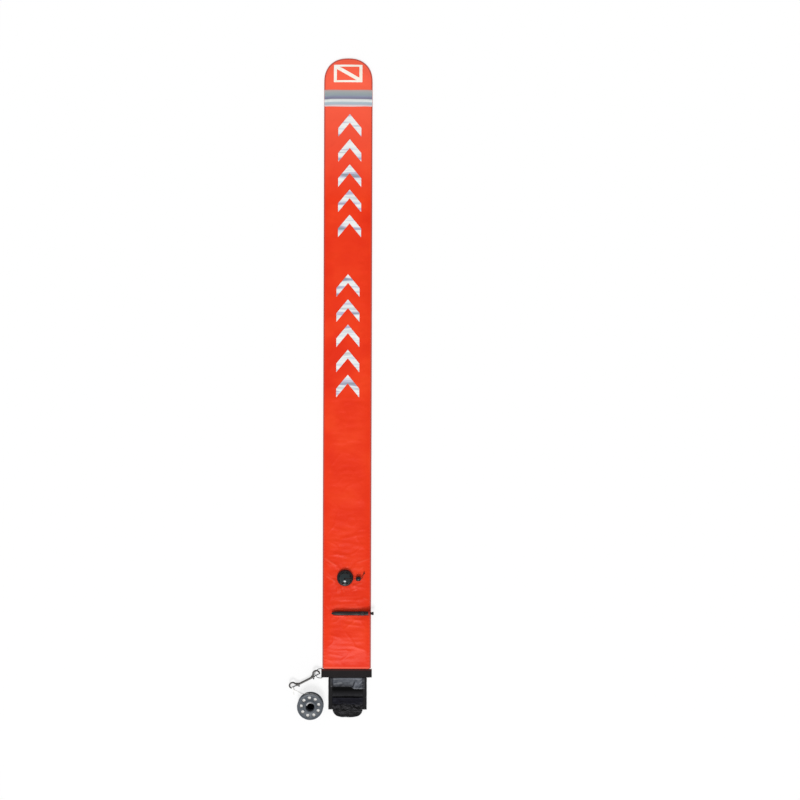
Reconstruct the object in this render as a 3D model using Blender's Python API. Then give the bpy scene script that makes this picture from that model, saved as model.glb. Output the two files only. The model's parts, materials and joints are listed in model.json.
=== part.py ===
"""Dive buoy: a surface marker buoy laid out flat, with its pouch, double-ended snap and finger spool.

Metres, +Z up. The origin is the middle of the base band's underside, and +Y runs along the
bladder to its rounded top. Everything lies on the plane z = 0.
"""

import math

import bmesh
import bpy
from mathutils import Matrix, Vector

for old in list(bpy.data.objects):
    bpy.data.objects.remove(old, do_unlink=True)

mm = 0.001
GAP = 0.3 * mm                     # daylight kept between pieces that touch on the real object

# Bladder: two coated fabric panels welded along a seam
BLADDER_TOP = 1844.5 * mm          # from the middle of the base band to the rounded top
HALF_WIDTH = 72.5 * mm
TUCK_HALF_WIDTH = 66.0 * mm        # inside the folded base band
TUCK_DEPTH = 10.0 * mm
CROWN = 72.0 * mm                  # depth of the rounded top
CROWN_POWER = 2.3
SEAM = 6.0 * mm
FABRIC = 0.8 * mm
SEAM_HEIGHT = 4.4 * mm             # underside of the front panel's seam
TUCK_HEIGHT = 2.75 * mm            # the same inside the band
AIR = 6.0 * mm                     # how far a little air lifts the front panel
PILLOW_POWER = 4.5

# Reflective film on the front
REFLECTOR = (1700.5 * mm, 1750.5 * mm)
REFLECTOR_HALF = 70.0 * mm
FILM = 0.3 * mm
FLAG_CENTRE = Vector((-0.6 * mm, 1798.2 * mm))
FLAG_SIZE = Vector((85.5 * mm, 53.0 * mm))
FLAG_SIDE_BAR = 9.0 * mm
FLAG_END_BAR = 6.0 * mm
CHEVRON_HALF = 34.5 * mm
CHEVRON_STROKE = 26.0 * mm
CHEVRON_RISE = 41.5 * mm
CHEVRON_PITCH = 75.3 * mm
CHEVRON_STARTS = ((1642.5 * mm, 5.0 * mm), (1163.0 * mm, 1.0 * mm))   # first middle, sideways shift
CHEVRONS_IN_ROW = 5

# Dump valve
VALVE = Vector((-5.0 * mm, 287.5 * mm))
CAP_VENTS = 8
SEAT_HOLES = 6
PULL_CORD = 1.6 * mm

# Oral inflator, lying along X
INFLATOR_Y = 182.5 * mm
TUBE_RADIUS = 6.3 * mm
PATCH_HALF = Vector((37.0 * mm, 13.0 * mm))
PATCH_X = -16.5 * mm
INLET_X = -22.0 * mm
STRAP_X = (64.9 * mm, 70.7 * mm)   # fabric strap round the inflator's end

# Base band of 25 mm webbing, folded round the D-ring's bar
BAND_HALF_LENGTH = 76.0 * mm
BAND_HALF_WIDTH = 12.5 * mm
WEBBING = 1.3 * mm
RING_BAR = Vector((-73.1 * mm, 2.9 * mm))      # x and z of the bar
RING_WIRE = 1.15 * mm
RING_HALF = 14.2 * mm
RING_ARM = 4.0 * mm
RING_REACH = 19.0 * mm
RING_TILT = math.radians(18)

# Double-ended snap
SNAP_MIDDLE = Vector((-124.3 * mm, -20.9 * mm, 6.6 * mm))
SNAP_TURN = math.radians(27)
SNAP_ROLL = math.radians(28)
SNAP_PIVOT = Vector((-86.0 * mm, 0.0, 8.0 * mm))
BARREL_RADIUS = 3.2 * mm
BARREL_HALF = 31.0 * mm
BORE_RADIUS = 2.05 * mm
BOLT_RADIUS = 1.75 * mm
BOLT_LINE = -2.0 * mm
BOLT_TIP = 44.1 * mm
ARM_RADIUS = 2.3 * mm
EYE_MIDDLE = Vector((39.5 * mm, 4.0 * mm))
EYE_RADII = Vector((9.2 * mm, 10.4 * mm))
KNOB_AT = 24.5 * mm

# Finger spool
SPOOL = Vector((-107.5 * mm, -95.3 * mm))
SPOOL_RADIUS = 39.0 * mm
SPOOL_WIDTH = 30.0 * mm
FLANGE = 3.5 * mm
SPOOL_BORE = 13.0 * mm
LIP_RADIUS = 19.0 * mm
HOLES = 9
HOLE_RADIUS = 5.25 * mm
HOLE_CIRCLE = 26.7 * mm
FIRST_HOLE = math.radians(94.6)
LINE = 1.7 * mm                    # diameter of the line
WOUND_RADIUS = 31.6 * mm           # middle of the outer layer of line
WOUND_TURNS = 9
POINTS_A_TURN = 24
LAST_WRAP_RADIUS = 33.6 * mm       # the free line lies on the winding for half a turn
LAST_WRAP_HEIGHTS = (6.4 * mm, 5.2 * mm)

# Pouch and its flap, hinged on the band's lower edge
POUCH_X = 3.0 * mm
POUCH_HALF = 56.5 * mm
POUCH_TOP = -13.2 * mm
POUCH_FOOT = -107.5 * mm
POUCH_FLOOR = 2.6 * mm
POUCH_FOLD = 5.2 * mm              # the cloth folds over the band's upper edge
POUCH_CLOTH = 1.2 * mm
BINDING = 10.7 * mm
LINING_FOOT = -41.5 * mm
TAPE_FOOT = -70.0 * mm
POCKET_X = 3.4 * mm
POCKET_HALF = 45.0 * mm
POCKET_MOUTH = -72.5 * mm
POCKET_FOOT = -131.5 * mm
POCKET_CORNER = 25.0 * mm
POCKET_HEIGHT = 20.0 * mm
NET = 1.0 * mm


def finish(name, colour, roughness, metallic=0.0):
    """A plain material with the sub-part's own colour."""
    material = bpy.data.materials.new(name)
    material.use_nodes = True
    shader = material.node_tree.nodes["Principled BSDF"]
    shader.inputs["Base Color"].default_value = (*colour, 1.0)
    shader.inputs["Roughness"].default_value = roughness
    shader.inputs["Metallic"].default_value = metallic
    material.diffuse_color = (*colour, 1.0)
    return material


ORANGE = (0.855, 0.051, 0.023)
BLACK = (0.015, 0.013, 0.014)
STEEL = (0.16, 0.16, 0.165)


def joint_point(name, place):
    """An empty that stands on a joint's axis and carries what turns or slides there."""
    empty = bpy.data.objects.new(name, None)
    empty.empty_display_size = 10 * mm
    bpy.context.collection.objects.link(empty)
    empty.location = place
    return empty


def piece(name, points, faces, material, holder=None, frame=Matrix.Identity(4)):
    """Make one object. Its points are given in frame, and its origin is the frame's."""
    mesh = bpy.data.meshes.new(name)
    mesh.from_pydata([tuple(p) for p in points], [], faces)
    shell = bmesh.new()
    shell.from_mesh(mesh)
    bmesh.ops.recalc_face_normals(shell, faces=shell.faces)
    if shell.calc_volume(signed=True) < 0:
        bmesh.ops.reverse_faces(shell, faces=shell.faces)
    shell.to_mesh(mesh)
    shell.free()
    mesh.shade_smooth()
    mesh.set_sharp_from_angle(angle=math.radians(32))
    mesh.materials.append(material)
    made = bpy.data.objects.new(name, mesh)
    bpy.context.collection.objects.link(made)
    if holder is not None:
        made.parent = holder
        frame = Matrix.Translation(-holder.location) @ frame
    made.location = frame.to_translation()
    made.rotation_euler = frame.to_euler()
    return made


def loft(name, rings, material, closed=False, **where):
    """Skin through rings of equal length: capped at both ends, or closed into a loop."""
    size = len(rings[0])
    points = [p for ring in rings for p in ring]
    faces = []
    spans = len(rings) if closed else len(rings) - 1
    for row in range(spans):
        low = row * size
        high = (row + 1) % len(rings) * size
        for i in range(size):
            j = (i + 1) % size
            faces.append((low + i, low + j, high + j, high + i))
    if not closed:
        faces.append(tuple(reversed(range(size))))
        faces.append(tuple(range(len(points) - size, len(points))))
    return piece(name, points, faces, material, **where)


def turned(name, profile, material, sides=24, **where):
    """Turn a closed profile of (radius, height), listed anticlockwise, about the frame's Z."""
    points = []
    rows = []
    for radius, height in profile:
        if radius == 0:
            rows.append([len(points)] * sides)
            points.append(Vector((0, 0, height)))
            continue
        rows.append(list(range(len(points), len(points) + sides)))
        for k in range(sides):
            turn = math.tau * k / sides
            points.append(Vector((radius * math.cos(turn), radius * math.sin(turn), height)))
    faces = []
    for row, upper in zip(rows, rows[1:] + rows[:1]):
        if row[0] == row[1] and upper[0] == upper[1]:
            continue
        for k in range(sides):
            j = (k + 1) % sides
            corners = (row[k], row[j], upper[j], upper[k])
            faces.append(tuple(dict.fromkeys(corners)))
    return piece(name, points, faces, material, **where)


def ring_round(centre, side, up, radius, sides):
    """Points on a circle, from its middle and two unit directions."""
    turns = [math.tau * k / sides for k in range(sides)]
    return [centre + radius * (math.cos(t) * side + math.sin(t) * up) for t in turns]


def rod(name, path, radii, material, sides=8, closed=False, upright=Vector((0, 0, 1)), **where):
    """A round rod along a flat path whose plane's normal is upright, with a radius at each point."""
    rings = []
    last = len(path) - 1
    for i, (point, radius) in enumerate(zip(path, radii)):
        before = path[i - 1] if closed or i > 0 else point
        after = path[(i + 1) % len(path)] if closed or i < last else point
        along = (after - before).normalized()
        side = along.cross(upright).normalized()
        rings.append(ring_round(point, side, upright, radius, sides))
    return loft(name, rings, material, closed=closed, **where)


def smooth_route(points, step):
    """Points about a step apart on a smooth curve through the route's own points."""
    knots = [2 * points[0] - points[1], *points, 2 * points[-1] - points[-2]]
    route = []
    for i in range(1, len(knots) - 2):
        a, b, c, d = knots[i - 1:i + 3]
        parts = max(1, round((c - b).length / step))
        for k in range(parts):
            t = k / parts
            route.append(0.5 * (2 * b + (c - a) * t + (2 * a - 5 * b + 4 * c - d) * t ** 2
                                + (3 * b - a - 3 * c + d) * t ** 3))
    route.append(points[-1])
    return route


def cord(name, route, diameter, material, resolution=2, holder=None):
    """A cord: a curve with a round bevel and filled caps along a route."""
    curve = bpy.data.curves.new(name, "CURVE")
    curve.dimensions = "3D"
    curve.bevel_depth = diameter / 2
    curve.bevel_resolution = resolution
    curve.use_fill_caps = True
    spline = curve.splines.new("POLY")
    spline.points.add(len(route) - 1)
    start = holder.location if holder is not None else Vector()
    for point, place in zip(spline.points, route):
        point.co = (*(place - start), 1.0)
    curve.materials.append(material)
    made = bpy.data.objects.new(name, curve)
    bpy.context.collection.objects.link(made)
    made.parent = holder
    return made


def spring(name, radius, wire, turns, length, material, points=8, **where):
    """A coil spring along the frame's Z, as a square-sided wire with flat ends."""
    rings = []
    total = turns * points
    for k in range(total + 1):
        turn = math.tau * k / points
        out = Vector((math.cos(turn), math.sin(turn), 0))
        up = Vector((0, 0, 1))
        middle = radius * out + length * k / total * up
        rings.append(ring_round(middle, out, up, wire / 2, 4))
    return loft(name, rings, material, **where)


def guide(made):
    """Hide a cutter or a shape that is joined into another."""
    made.hide_render = True
    made.display_type = "WIRE"
    return made


def combine(target, tool, operation):
    """Cut a tool away from a piece, or join it on."""
    modifier = target.modifiers.new(f"{operation.lower()}_{tool.name}", "BOOLEAN")
    modifier.operation = operation
    modifier.object = guide(tool)


def block(name, low, high, material, **where):
    """A box between two corners."""
    xs, ys, zs = zip(low, high)
    rings = [[Vector((xs[i], ys[j], z)) for i, j in ((0, 0), (1, 0), (1, 1), (0, 1))] for z in zs]
    return loft(name, rings, material, **where)


def extruded(name, outline, low, high, material, axis="Y", **where):
    """Extrude an outline between two stations along Y (outline in X, Z) or X (outline in Y, Z)."""
    def at(a, b, station):
        return Vector((a, station, b)) if axis == "Y" else Vector((station, a, b))
    rings = [[at(a, b, station) for a, b in outline] for station in (low, high)]
    return loft(name, rings, material, **where)


def quilt(name, columns, rows, place, underside, topside, material, **where):
    """A thin closed sheet over a grid: place gives x and y, the other two give its faces' heights."""
    points = []
    for height in (underside, topside):
        for v in rows:
            for u in columns:
                x, y = place(u, v)
                points.append(Vector((x, y, height(x, y))))
    wide = len(columns)
    layer = wide * len(rows)
    faces = []
    for r in range(len(rows) - 1):
        for c in range(wide - 1):
            a = r * wide + c
            faces.append((a, a + wide, a + wide + 1, a + 1))
            faces.append((layer + a, layer + a + 1, layer + a + wide + 1, layer + a + wide))
    edge = list(range(wide))
    edge += [r * wide + wide - 1 for r in range(1, len(rows))]
    edge += [(len(rows) - 1) * wide + c for c in range(wide - 2, -1, -1)]
    edge += [r * wide for r in range(len(rows) - 2, 0, -1)]
    for a, b in zip(edge, edge[1:] + edge[:1]):
        faces.append((a, b, layer + b, layer + a))
    return piece(name, points, faces, material, **where)


def ease(start, end, value):
    """Rise smoothly from 0 to 1 between start and end."""
    t = min(1.0, max(0.0, (value - start) / (end - start)))
    return t * t * (3 - 2 * t)


def seam_height(y):
    """Underside of the front panel's seam."""
    return TUCK_HEIGHT + (SEAM_HEIGHT - TUCK_HEIGHT) * ease(BAND_HALF_WIDTH, 100 * mm, y)


def middle_distance(x, y):
    """0 on the bladder's middle line and 1 at the inner edge of its seam."""
    across = abs(x) / (HALF_WIDTH - SEAM)
    up = max(0.0, y - BLADDER_TOP + CROWN) / (CROWN - SEAM)
    return (across ** CROWN_POWER + up ** CROWN_POWER) ** (1 / CROWN_POWER)


def front_face(x, y):
    """Top of the front panel, lifted by a little air inside the seam."""
    lift = max(0.0, 1 - middle_distance(x, y) ** PILLOW_POWER) * ease(20 * mm, 110 * mm, y)
    return seam_height(y) + FABRIC + AIR * lift


def front_inside(x, y):
    return front_face(x, y) - FABRIC


def back_face(x, y):
    """Underside of the back panel, which lies on the surface inside the seam."""
    edge = seam_height(y) - GAP - FABRIC
    rest = max(0.0, 1 - middle_distance(x, y) ** 6) * ease(14 * mm, 60 * mm, y)
    return edge * (1 - rest)


def back_inside(x, y):
    return back_face(x, y) + FABRIC


def bladder_outline(t, row):
    """Place of a grid point: t runs from -1 to 1 across, and row holds its y and its half width."""
    y, half = row
    return t * half, y


def bladder_rows(step, crown_steps):
    """Rows of the bladder's grid, from the tucked end to the rounded top."""
    rows = [(-TUCK_DEPTH, TUCK_HALF_WIDTH), (12.8 * mm, TUCK_HALF_WIDTH), (16 * mm, HALF_WIDTH)]
    ys = [y * mm for y in (24, 38, 55, 75, 98)]
    start = BLADDER_TOP - CROWN
    count = round((start - ys[-1]) / step)
    ys += [ys[-1] + (start - ys[-1]) * k / count for k in range(1, count + 1)]
    rows += [(y, HALF_WIDTH) for y in ys]
    for k in range(1, crown_steps + 1):
        turn = math.radians(84) * k / crown_steps
        y = start + CROWN * math.sin(turn) ** (2 / CROWN_POWER)
        rows.append((y, HALF_WIDTH * math.cos(turn) ** (2 / CROWN_POWER)))
    return rows


def mirrored(values):
    """A list of positive stations with 0 and their negatives, in order."""
    return [-v for v in reversed(values)] + [0.0] + list(values)


def make_bladder():
    orange = finish("orange_coated_nylon", ORANGE, 0.5)
    seam_line = 1 - SEAM / HALF_WIDTH
    front_columns = mirrored([0.35, 0.6, 0.74, 0.84, seam_line, 1.0])
    back_columns = mirrored([0.45, 0.75, seam_line, 1.0])
    front = quilt("front_panel", front_columns, bladder_rows(68 * mm, 7), bladder_outline,
                  front_inside, front_face, orange)
    quilt("back_panel", back_columns, bladder_rows(140 * mm, 6), bladder_outline,
          back_face, back_inside, orange)
    bottom = 2 * mm
    top = 37 * mm
    holes = (("valve_opening", VALVE.x, VALVE.y, 10.9 * mm, 32),
             ("inflator_opening", INLET_X, INFLATOR_Y, 5.4 * mm, 20))
    for name, x, y, radius, sides in holes:
        profile = ((0, bottom), (radius, bottom), (radius, top), (0, top))
        frame = Matrix.Translation((x, y, 0))
        combine(front, turned(name, profile, orange, sides=sides, frame=frame), "DIFFERENCE")


def film_faces(x, y):
    return front_face(x, y) + GAP


def film_top(x, y):
    return front_face(x, y) + GAP + FILM


def make_reflectors():
    silver = finish("silver_reflective_film", (0.60, 0.63, 0.64), 0.35, 0.4)
    band_columns = mirrored([0.35, 0.6, 0.74, 0.84, 1 - SEAM / HALF_WIDTH, REFLECTOR_HALF / HALF_WIDTH])

    def on_band(t, y):
        return t * HALF_WIDTH, y
    quilt("reflective_band", band_columns, REFLECTOR, on_band, film_faces, film_top, silver)

    cream = finish("cream_reflective_film", (0.83, 0.80, 0.74), 0.45)
    half = FLAG_SIZE / 2

    def on_flag(u, v):
        return FLAG_CENTRE.x + u * half.x, FLAG_CENTRE.y + v * half.y
    stations = [k / 4 - 1 for k in range(9)]
    flag = quilt("flag_mark", stations, stations, on_flag, film_faces, film_top, cream)
    inner = Vector((half.x - FLAG_SIDE_BAR, half.y - FLAG_END_BAR))
    slope = inner.y / inner.x
    setback = FLAG_SIDE_BAR * 0.55
    for name, sign in (("flag_window_low", 1), ("flag_window_high", -1)):
        corners = ((-inner.x, inner.y - setback - slope * 4 * mm), (-inner.x, -inner.y),
                   (inner.x - setback / slope, -inner.y))
        window = [(FLAG_CENTRE.x + sign * x, FLAG_CENTRE.y + sign * y) for x, y in corners]
        rings = [[Vector((x, y, z)) for x, y in window] for z in (0.0, 30 * mm)]
        combine(flag, loft(name, rings, cream), "DIFFERENCE")

    panel_lines = [0.35 * HALF_WIDTH, CHEVRON_HALF]
    count = 0
    for first, shift in CHEVRON_STARTS:
        for k in range(CHEVRONS_IN_ROW):
            count += 1
            middle = first - k * CHEVRON_PITCH

            def on_chevron(x, v, middle=middle, shift=shift):
                drop = CHEVRON_RISE * abs(x) / CHEVRON_HALF
                level = middle + (CHEVRON_RISE - CHEVRON_STROKE) / 2 + v * CHEVRON_STROKE
                return x + shift, level - drop
            quilt(f"chevron_{count:02d}", mirrored([12 * mm, *panel_lines]), (0.0, 1.0), on_chevron,
                  film_faces, film_top, silver)


def make_valve():
    black = finish("black_nylon", BLACK, 0.35)
    rubber = finish("black_rubber", (0.02, 0.02, 0.02), 0.6)
    wire = finish("spring_wire", (0.5, 0.5, 0.5), 0.3, 1.0)
    seat = front_face(VALVE.x, VALVE.y) + GAP
    frame = Matrix.Translation((VALVE.x, VALVE.y, seat))
    base_profile = [(1.5, 0), (1.5, -3), (2.8, -3), (2.8, 0), (9.0, 0), (9.0, -2.6), (10.5, -2.6), (10.5, 0),
                    (24.0, 0), (24.5, 0.5), (24.5, 1.4), (24.0, 1.8), (19.5, 1.8), (19.5, 7.6), (17.5, 7.6),
                    (17.5, 1.8)]
    base = turned("valve_base", [(r * mm, h * mm) for r, h in base_profile], black, sides=28, frame=frame)
    for k in range(SEAT_HOLES):
        turn = math.tau * k / SEAT_HOLES
        at = frame @ Matrix.Translation((5.9 * mm * math.cos(turn), 5.9 * mm * math.sin(turn), 0))
        profile = ((0, -5 * mm), (2.1 * mm, -5 * mm), (2.1 * mm, 5 * mm), (0, 5 * mm))
        combine(base, turned(f"seat_hole_{k + 1}", profile, black, sides=10, frame=at), "DIFFERENCE")

    gasket = [(20.4, 2.1), (22.6, 2.1), (22.6, 3.0), (20.4, 3.0)]
    turned("valve_gasket", [(r * mm, h * mm) for r, h in gasket], rubber, sides=24, frame=frame)

    cap_profile = [(19.9, 3.3), (23.4, 3.3), (24.0, 3.9), (24.0, 8.6), (22.4, 10.8), (17.4, 11.6),
                   (15.5, 11.6), (14.9, 13.2), (12.2, 15.2), (8.0, 16.6), (2.2, 17.2), (2.2, 15.6),
                   (8.0, 14.9), (12.0, 13.2), (13.6, 11.0), (13.6, 9.8), (19.9, 9.8)]
    cap = turned("valve_cap", [(r * mm, h * mm) for r, h in cap_profile], black, sides=28, frame=frame)
    for k in range(CAP_VENTS):
        at = frame @ Matrix.Rotation(math.tau * (k + 0.5) / CAP_VENTS, 4, "Z")
        slot = block(f"cap_vent_{k + 1}", (16.8 * mm, -3.0 * mm, 9.0 * mm), (18.9 * mm, 3.0 * mm, 13 * mm),
                     black, frame=at)
        combine(cap, slot, "DIFFERENCE")

    spring("valve_spring", 5.4 * mm, 0.8 * mm, 4, 7.4 * mm, wire,
           frame=frame @ Matrix.Translation((0, 0, 5.4 * mm)))

    lift = joint_point("dump_slide", Vector((VALVE.x, VALVE.y, seat)))
    seal = [(1.6, 2.1), (10.2, 2.1), (10.2, 3.1), (1.6, 3.1)]
    turned("poppet_seal", [(r * mm, h * mm) for r, h in seal], rubber, sides=24, frame=frame, holder=lift)
    poppet = [(0, -2.0), (1.2, -2.0), (1.2, 3.4), (11.0, 3.4), (11.0, 4.4), (1.6, 4.8), (1.6, 13.4),
              (0, 13.4)]
    turned("valve_poppet", [(r * mm, h * mm) for r, h in poppet], black, sides=24, frame=frame, holder=lift)

    top = seat + 13.7 * mm
    bead_x = 35.0 * mm
    rest = front_face(bead_x, VALVE.y) + 7.4 * mm
    bead_at = Vector((bead_x, VALVE.y - 1.8 * mm, rest))
    route = [Vector((VALVE.x, VALVE.y, top)), Vector((VALVE.x, VALVE.y, seat + 17.4 * mm)),
             Vector((VALVE.x + 1.5 * mm, VALVE.y, seat + 19.2 * mm)),
             Vector((VALVE.x + 5.0 * mm, VALVE.y - 0.2 * mm, seat + 19.1 * mm)),
             Vector((VALVE.x + 9.5 * mm, VALVE.y - 0.5 * mm, seat + 17.7 * mm)),
             Vector((VALVE.x + 15.6 * mm, VALVE.y - 0.9 * mm, seat + 14.9 * mm)),
             Vector((VALVE.x + 21.2 * mm, VALVE.y - 1.3 * mm, seat + 13.0 * mm)),
             Vector((VALVE.x + 25.6 * mm, VALVE.y - 1.6 * mm, seat + 9.4 * mm)),
             Vector((VALVE.x + 28.4 * mm, VALVE.y - 1.8 * mm, rest + 0.9 * mm)),
             bead_at - Vector((7.8 * mm, 0, 0))]
    nylon = finish("black_cord", (0.02, 0.02, 0.02), 0.8)
    cord("pull_cord", smooth_route(route, 4 * mm), PULL_CORD, nylon, holder=lift)
    along = Matrix.Translation(bead_at) @ Matrix.Rotation(math.radians(90), 4, "Y")
    ball = [(1.5, -7.4), (4.2, -7.4), (6.3, -5.3), (7.0, -1.8), (7.0, 1.8), (6.3, 5.3), (4.2, 7.4), (1.5, 7.4)]
    turned("pull_bead", [(r * mm, h * mm) for r, h in ball], black, sides=14, frame=along, holder=lift)
    tail = [bead_at - Vector((6.8 * mm, 0, 0)), bead_at,
            Vector((bead_x + 8.0 * mm, VALVE.y - 1.7 * mm, rest - 0.4 * mm)),
            Vector((bead_x + 12.4 * mm, VALVE.y + 3.6 * mm, rest - 3.4 * mm)),
            Vector((bead_x + 15.2 * mm, VALVE.y + 10.6 * mm, rest - 5.0 * mm))]
    cord("pull_cord_tail", smooth_route(tail, 4 * mm), PULL_CORD, nylon, holder=lift)
    knot_at = tail[-1] + Vector((2.0 * mm, 3.9 * mm, -0.2 * mm))
    aim = (knot_at - tail[-1]).to_track_quat("Z", "Y").to_matrix().to_4x4()
    knot = [(0, -3.9), (1.8, -3.2), (2.5, 0), (1.8, 3.2), (0, 3.9)]
    turned("pull_cord_knot", [(r * mm, h * mm) for r, h in knot], nylon, sides=12,
           frame=Matrix.Translation(knot_at) @ aim, holder=lift)


def make_inflator():
    black = finish("inflator_black", (0.02, 0.018, 0.018), 0.4)
    rubber = finish("inflator_seal", (0.02, 0.02, 0.02), 0.6)
    wire = finish("inflator_wire", (0.5, 0.5, 0.5), 0.3, 1.0)
    orange = finish("orange_patch", ORANGE, 0.5)
    axis_z = front_face(0, INFLATOR_Y) + 1.6 * mm + TUBE_RADIUS
    frame = Matrix.Translation((0, INFLATOR_Y, axis_z)) @ Matrix.Rotation(math.radians(90), 4, "Y")

    def on_patch(u, v):
        half = PATCH_HALF.y * math.sqrt(max(0.0, 1 - abs(u) ** 2.4))
        return PATCH_X + u * PATCH_HALF.x, INFLATOR_Y + v * half

    stations = mirrored([0.3, 0.6, 0.85, 0.985])
    patch = quilt("inflator_patch", stations, (-1.0, -0.4, 0.4, 1.0), on_patch, film_faces,
                  lambda x, y: film_faces(x, y) + FABRIC, orange)
    inlet = Matrix.Translation((INLET_X, INFLATOR_Y, axis_z))
    hole = [(0, -25), (5.4, -25), (5.4, 5), (0, 5)]
    combine(patch, turned("patch_hole", [(r * mm, h * mm) for r, h in hole], orange, sides=20, frame=inlet),
            "DIFFERENCE")

    body = [(0, -45.5), (2.2, -44.6), (4.4, -40.5), (5.8, -33.5), (6.3, -26), (6.3, 37.8), (0, 37.8)]
    tube = turned("inflator_tube", [(r * mm, h * mm) for r, h in body], black, sides=20, frame=frame)
    spigot = [(0, -10.4), (5.0, -10.4), (5.0, 0), (0, 0)]
    combine(tube, turned("inlet_spigot", [(r * mm, h * mm) for r, h in spigot], black, sides=16,
                         frame=inlet), "UNION")
    bore = [(0, -26), (4.0, -26), (4.0, 45), (0, 45)]
    combine(tube, turned("tube_bore", [(r * mm, h * mm) for r, h in bore], black, sides=16, frame=frame),
            "DIFFERENCE")
    drop = [(0, -20), (3.2, -20), (3.2, 0), (0, 0)]
    combine(tube, turned("inlet_bore", [(r * mm, h * mm) for r, h in drop], black, sides=14, frame=inlet),
            "DIFFERENCE")

    barrel = [(4.2, 38.1), (6.3, 38.1), (6.3, 41.2), (4.9, 41.2), (4.9, 53.8), (6.3, 53.8), (6.3, 64.0),
              (5.8, 71.0), (4.2, 71.0), (4.2, 50.0), (2.4, 50.0), (2.4, 48.0), (4.2, 48.0)]
    turned("inflator_barrel", [(r * mm, h * mm) for r, h in barrel], black, sides=16, frame=frame)

    push = joint_point("mouthpiece_slide", Vector((60 * mm, INFLATOR_Y, axis_z)))
    mouth = [(2.0, 56.0), (3.7, 56.0), (3.7, 75.6), (4.4, 77.0), (4.9, 79.6), (4.7, 81.0), (2.6, 81.0),
             (2.0, 79.0)]
    turned("mouthpiece", [(r * mm, h * mm) for r, h in mouth], black, sides=16, frame=frame, holder=push)
    plunger = [(0, 43.4), (3.4, 43.4), (3.4, 45.6), (1.2, 46.0), (1.2, 58.0), (0, 58.0)]
    turned("inflator_plunger", [(r * mm, h * mm) for r, h in plunger], black, sides=12, frame=frame,
           holder=push)
    washer = [(1.5, 46.3), (3.5, 46.3), (3.5, 47.6), (1.5, 47.6)]
    turned("inflator_seal_ring", [(r * mm, h * mm) for r, h in washer], rubber, sides=12, frame=frame,
           holder=push)
    spring("inflator_spring", 3.0 * mm, 0.5 * mm, 4, 4.7 * mm, wire,
           frame=frame @ Matrix.Translation((0, 0, 50.6 * mm)))

    turning = joint_point("lock_ring_turn", Vector((47.5 * mm, INFLATOR_Y, axis_z)))
    sides = 24
    stations = ((5.3, 41.6), (6.5, 41.6), (6.9, 42.4), (6.9, 52.6), (6.5, 53.4), (5.3, 53.4))
    rings = []
    for radius, height in stations:
        ring = []
        for k in range(sides):
            flute = 0.35 if k % 2 and radius > 6 else 0.0
            turn = math.tau * k / sides
            reach = (radius - flute) * mm
            ring.append(Vector((reach * math.cos(turn), reach * math.sin(turn), height * mm)))
        rings.append(ring)
    loft("lock_ring", rings, black, closed=True, frame=frame, holder=turning)

    foot = front_face(STRAP_X[0], INFLATOR_Y) + 2 * GAP
    strap = 1.0 * mm
    inside = TUBE_RADIUS + 0.4 * mm
    outside = inside + strap
    steps = 14
    turns = [math.radians(-75 + 330 * k / steps) for k in range(steps + 1)]
    outer = [(INFLATOR_Y + outside * math.cos(t), axis_z + outside * math.sin(t)) for t in turns]
    inner = [(INFLATOR_Y + inside * math.cos(t), axis_z + inside * math.sin(t)) for t in reversed(turns)]
    leg = outside * math.cos(turns[0])
    leg_in = inside * math.cos(turns[0])
    tab = 9 * mm
    outline = [(INFLATOR_Y + tab, foot), (INFLATOR_Y + tab, foot + strap), (INFLATOR_Y + leg, foot + strap)]
    outline += outer
    outline += [(INFLATOR_Y - leg, foot + strap), (INFLATOR_Y - tab, foot + strap), (INFLATOR_Y - tab, foot),
                (INFLATOR_Y - leg_in, foot)]
    outline += inner
    outline += [(INFLATOR_Y + leg_in, foot)]
    extruded("retaining_loop", outline, *STRAP_X, orange, axis="X")


def band_outline(outside):
    """Section of the folded webbing in X and Z: its outer or its inner line, with equal counts."""
    radius = RING_BAR.y if outside else RING_BAR.y - WEBBING
    turns = [math.radians(90 + 30 * k) for k in range(7)]
    line = [(RING_BAR.x + radius * math.cos(t), RING_BAR.y + radius * math.sin(t)) for t in turns]
    end = BAND_HALF_LENGTH
    top = 5.15 * mm
    if outside:
        return line + [(end, 0.0), (end, 2.9 * mm), (end - 1.8 * mm, 3.1 * mm), (end - 8 * mm, top),
                       (-end + 10 * mm, top)]
    under = top - WEBBING
    return line + [(end - 2.6 * mm, WEBBING), (end - 2.6 * mm, 1.75 * mm), (end - 3.4 * mm, 2.0 * mm),
                   (end - 8.5 * mm, under), (-end + 10 * mm, under)]


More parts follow.
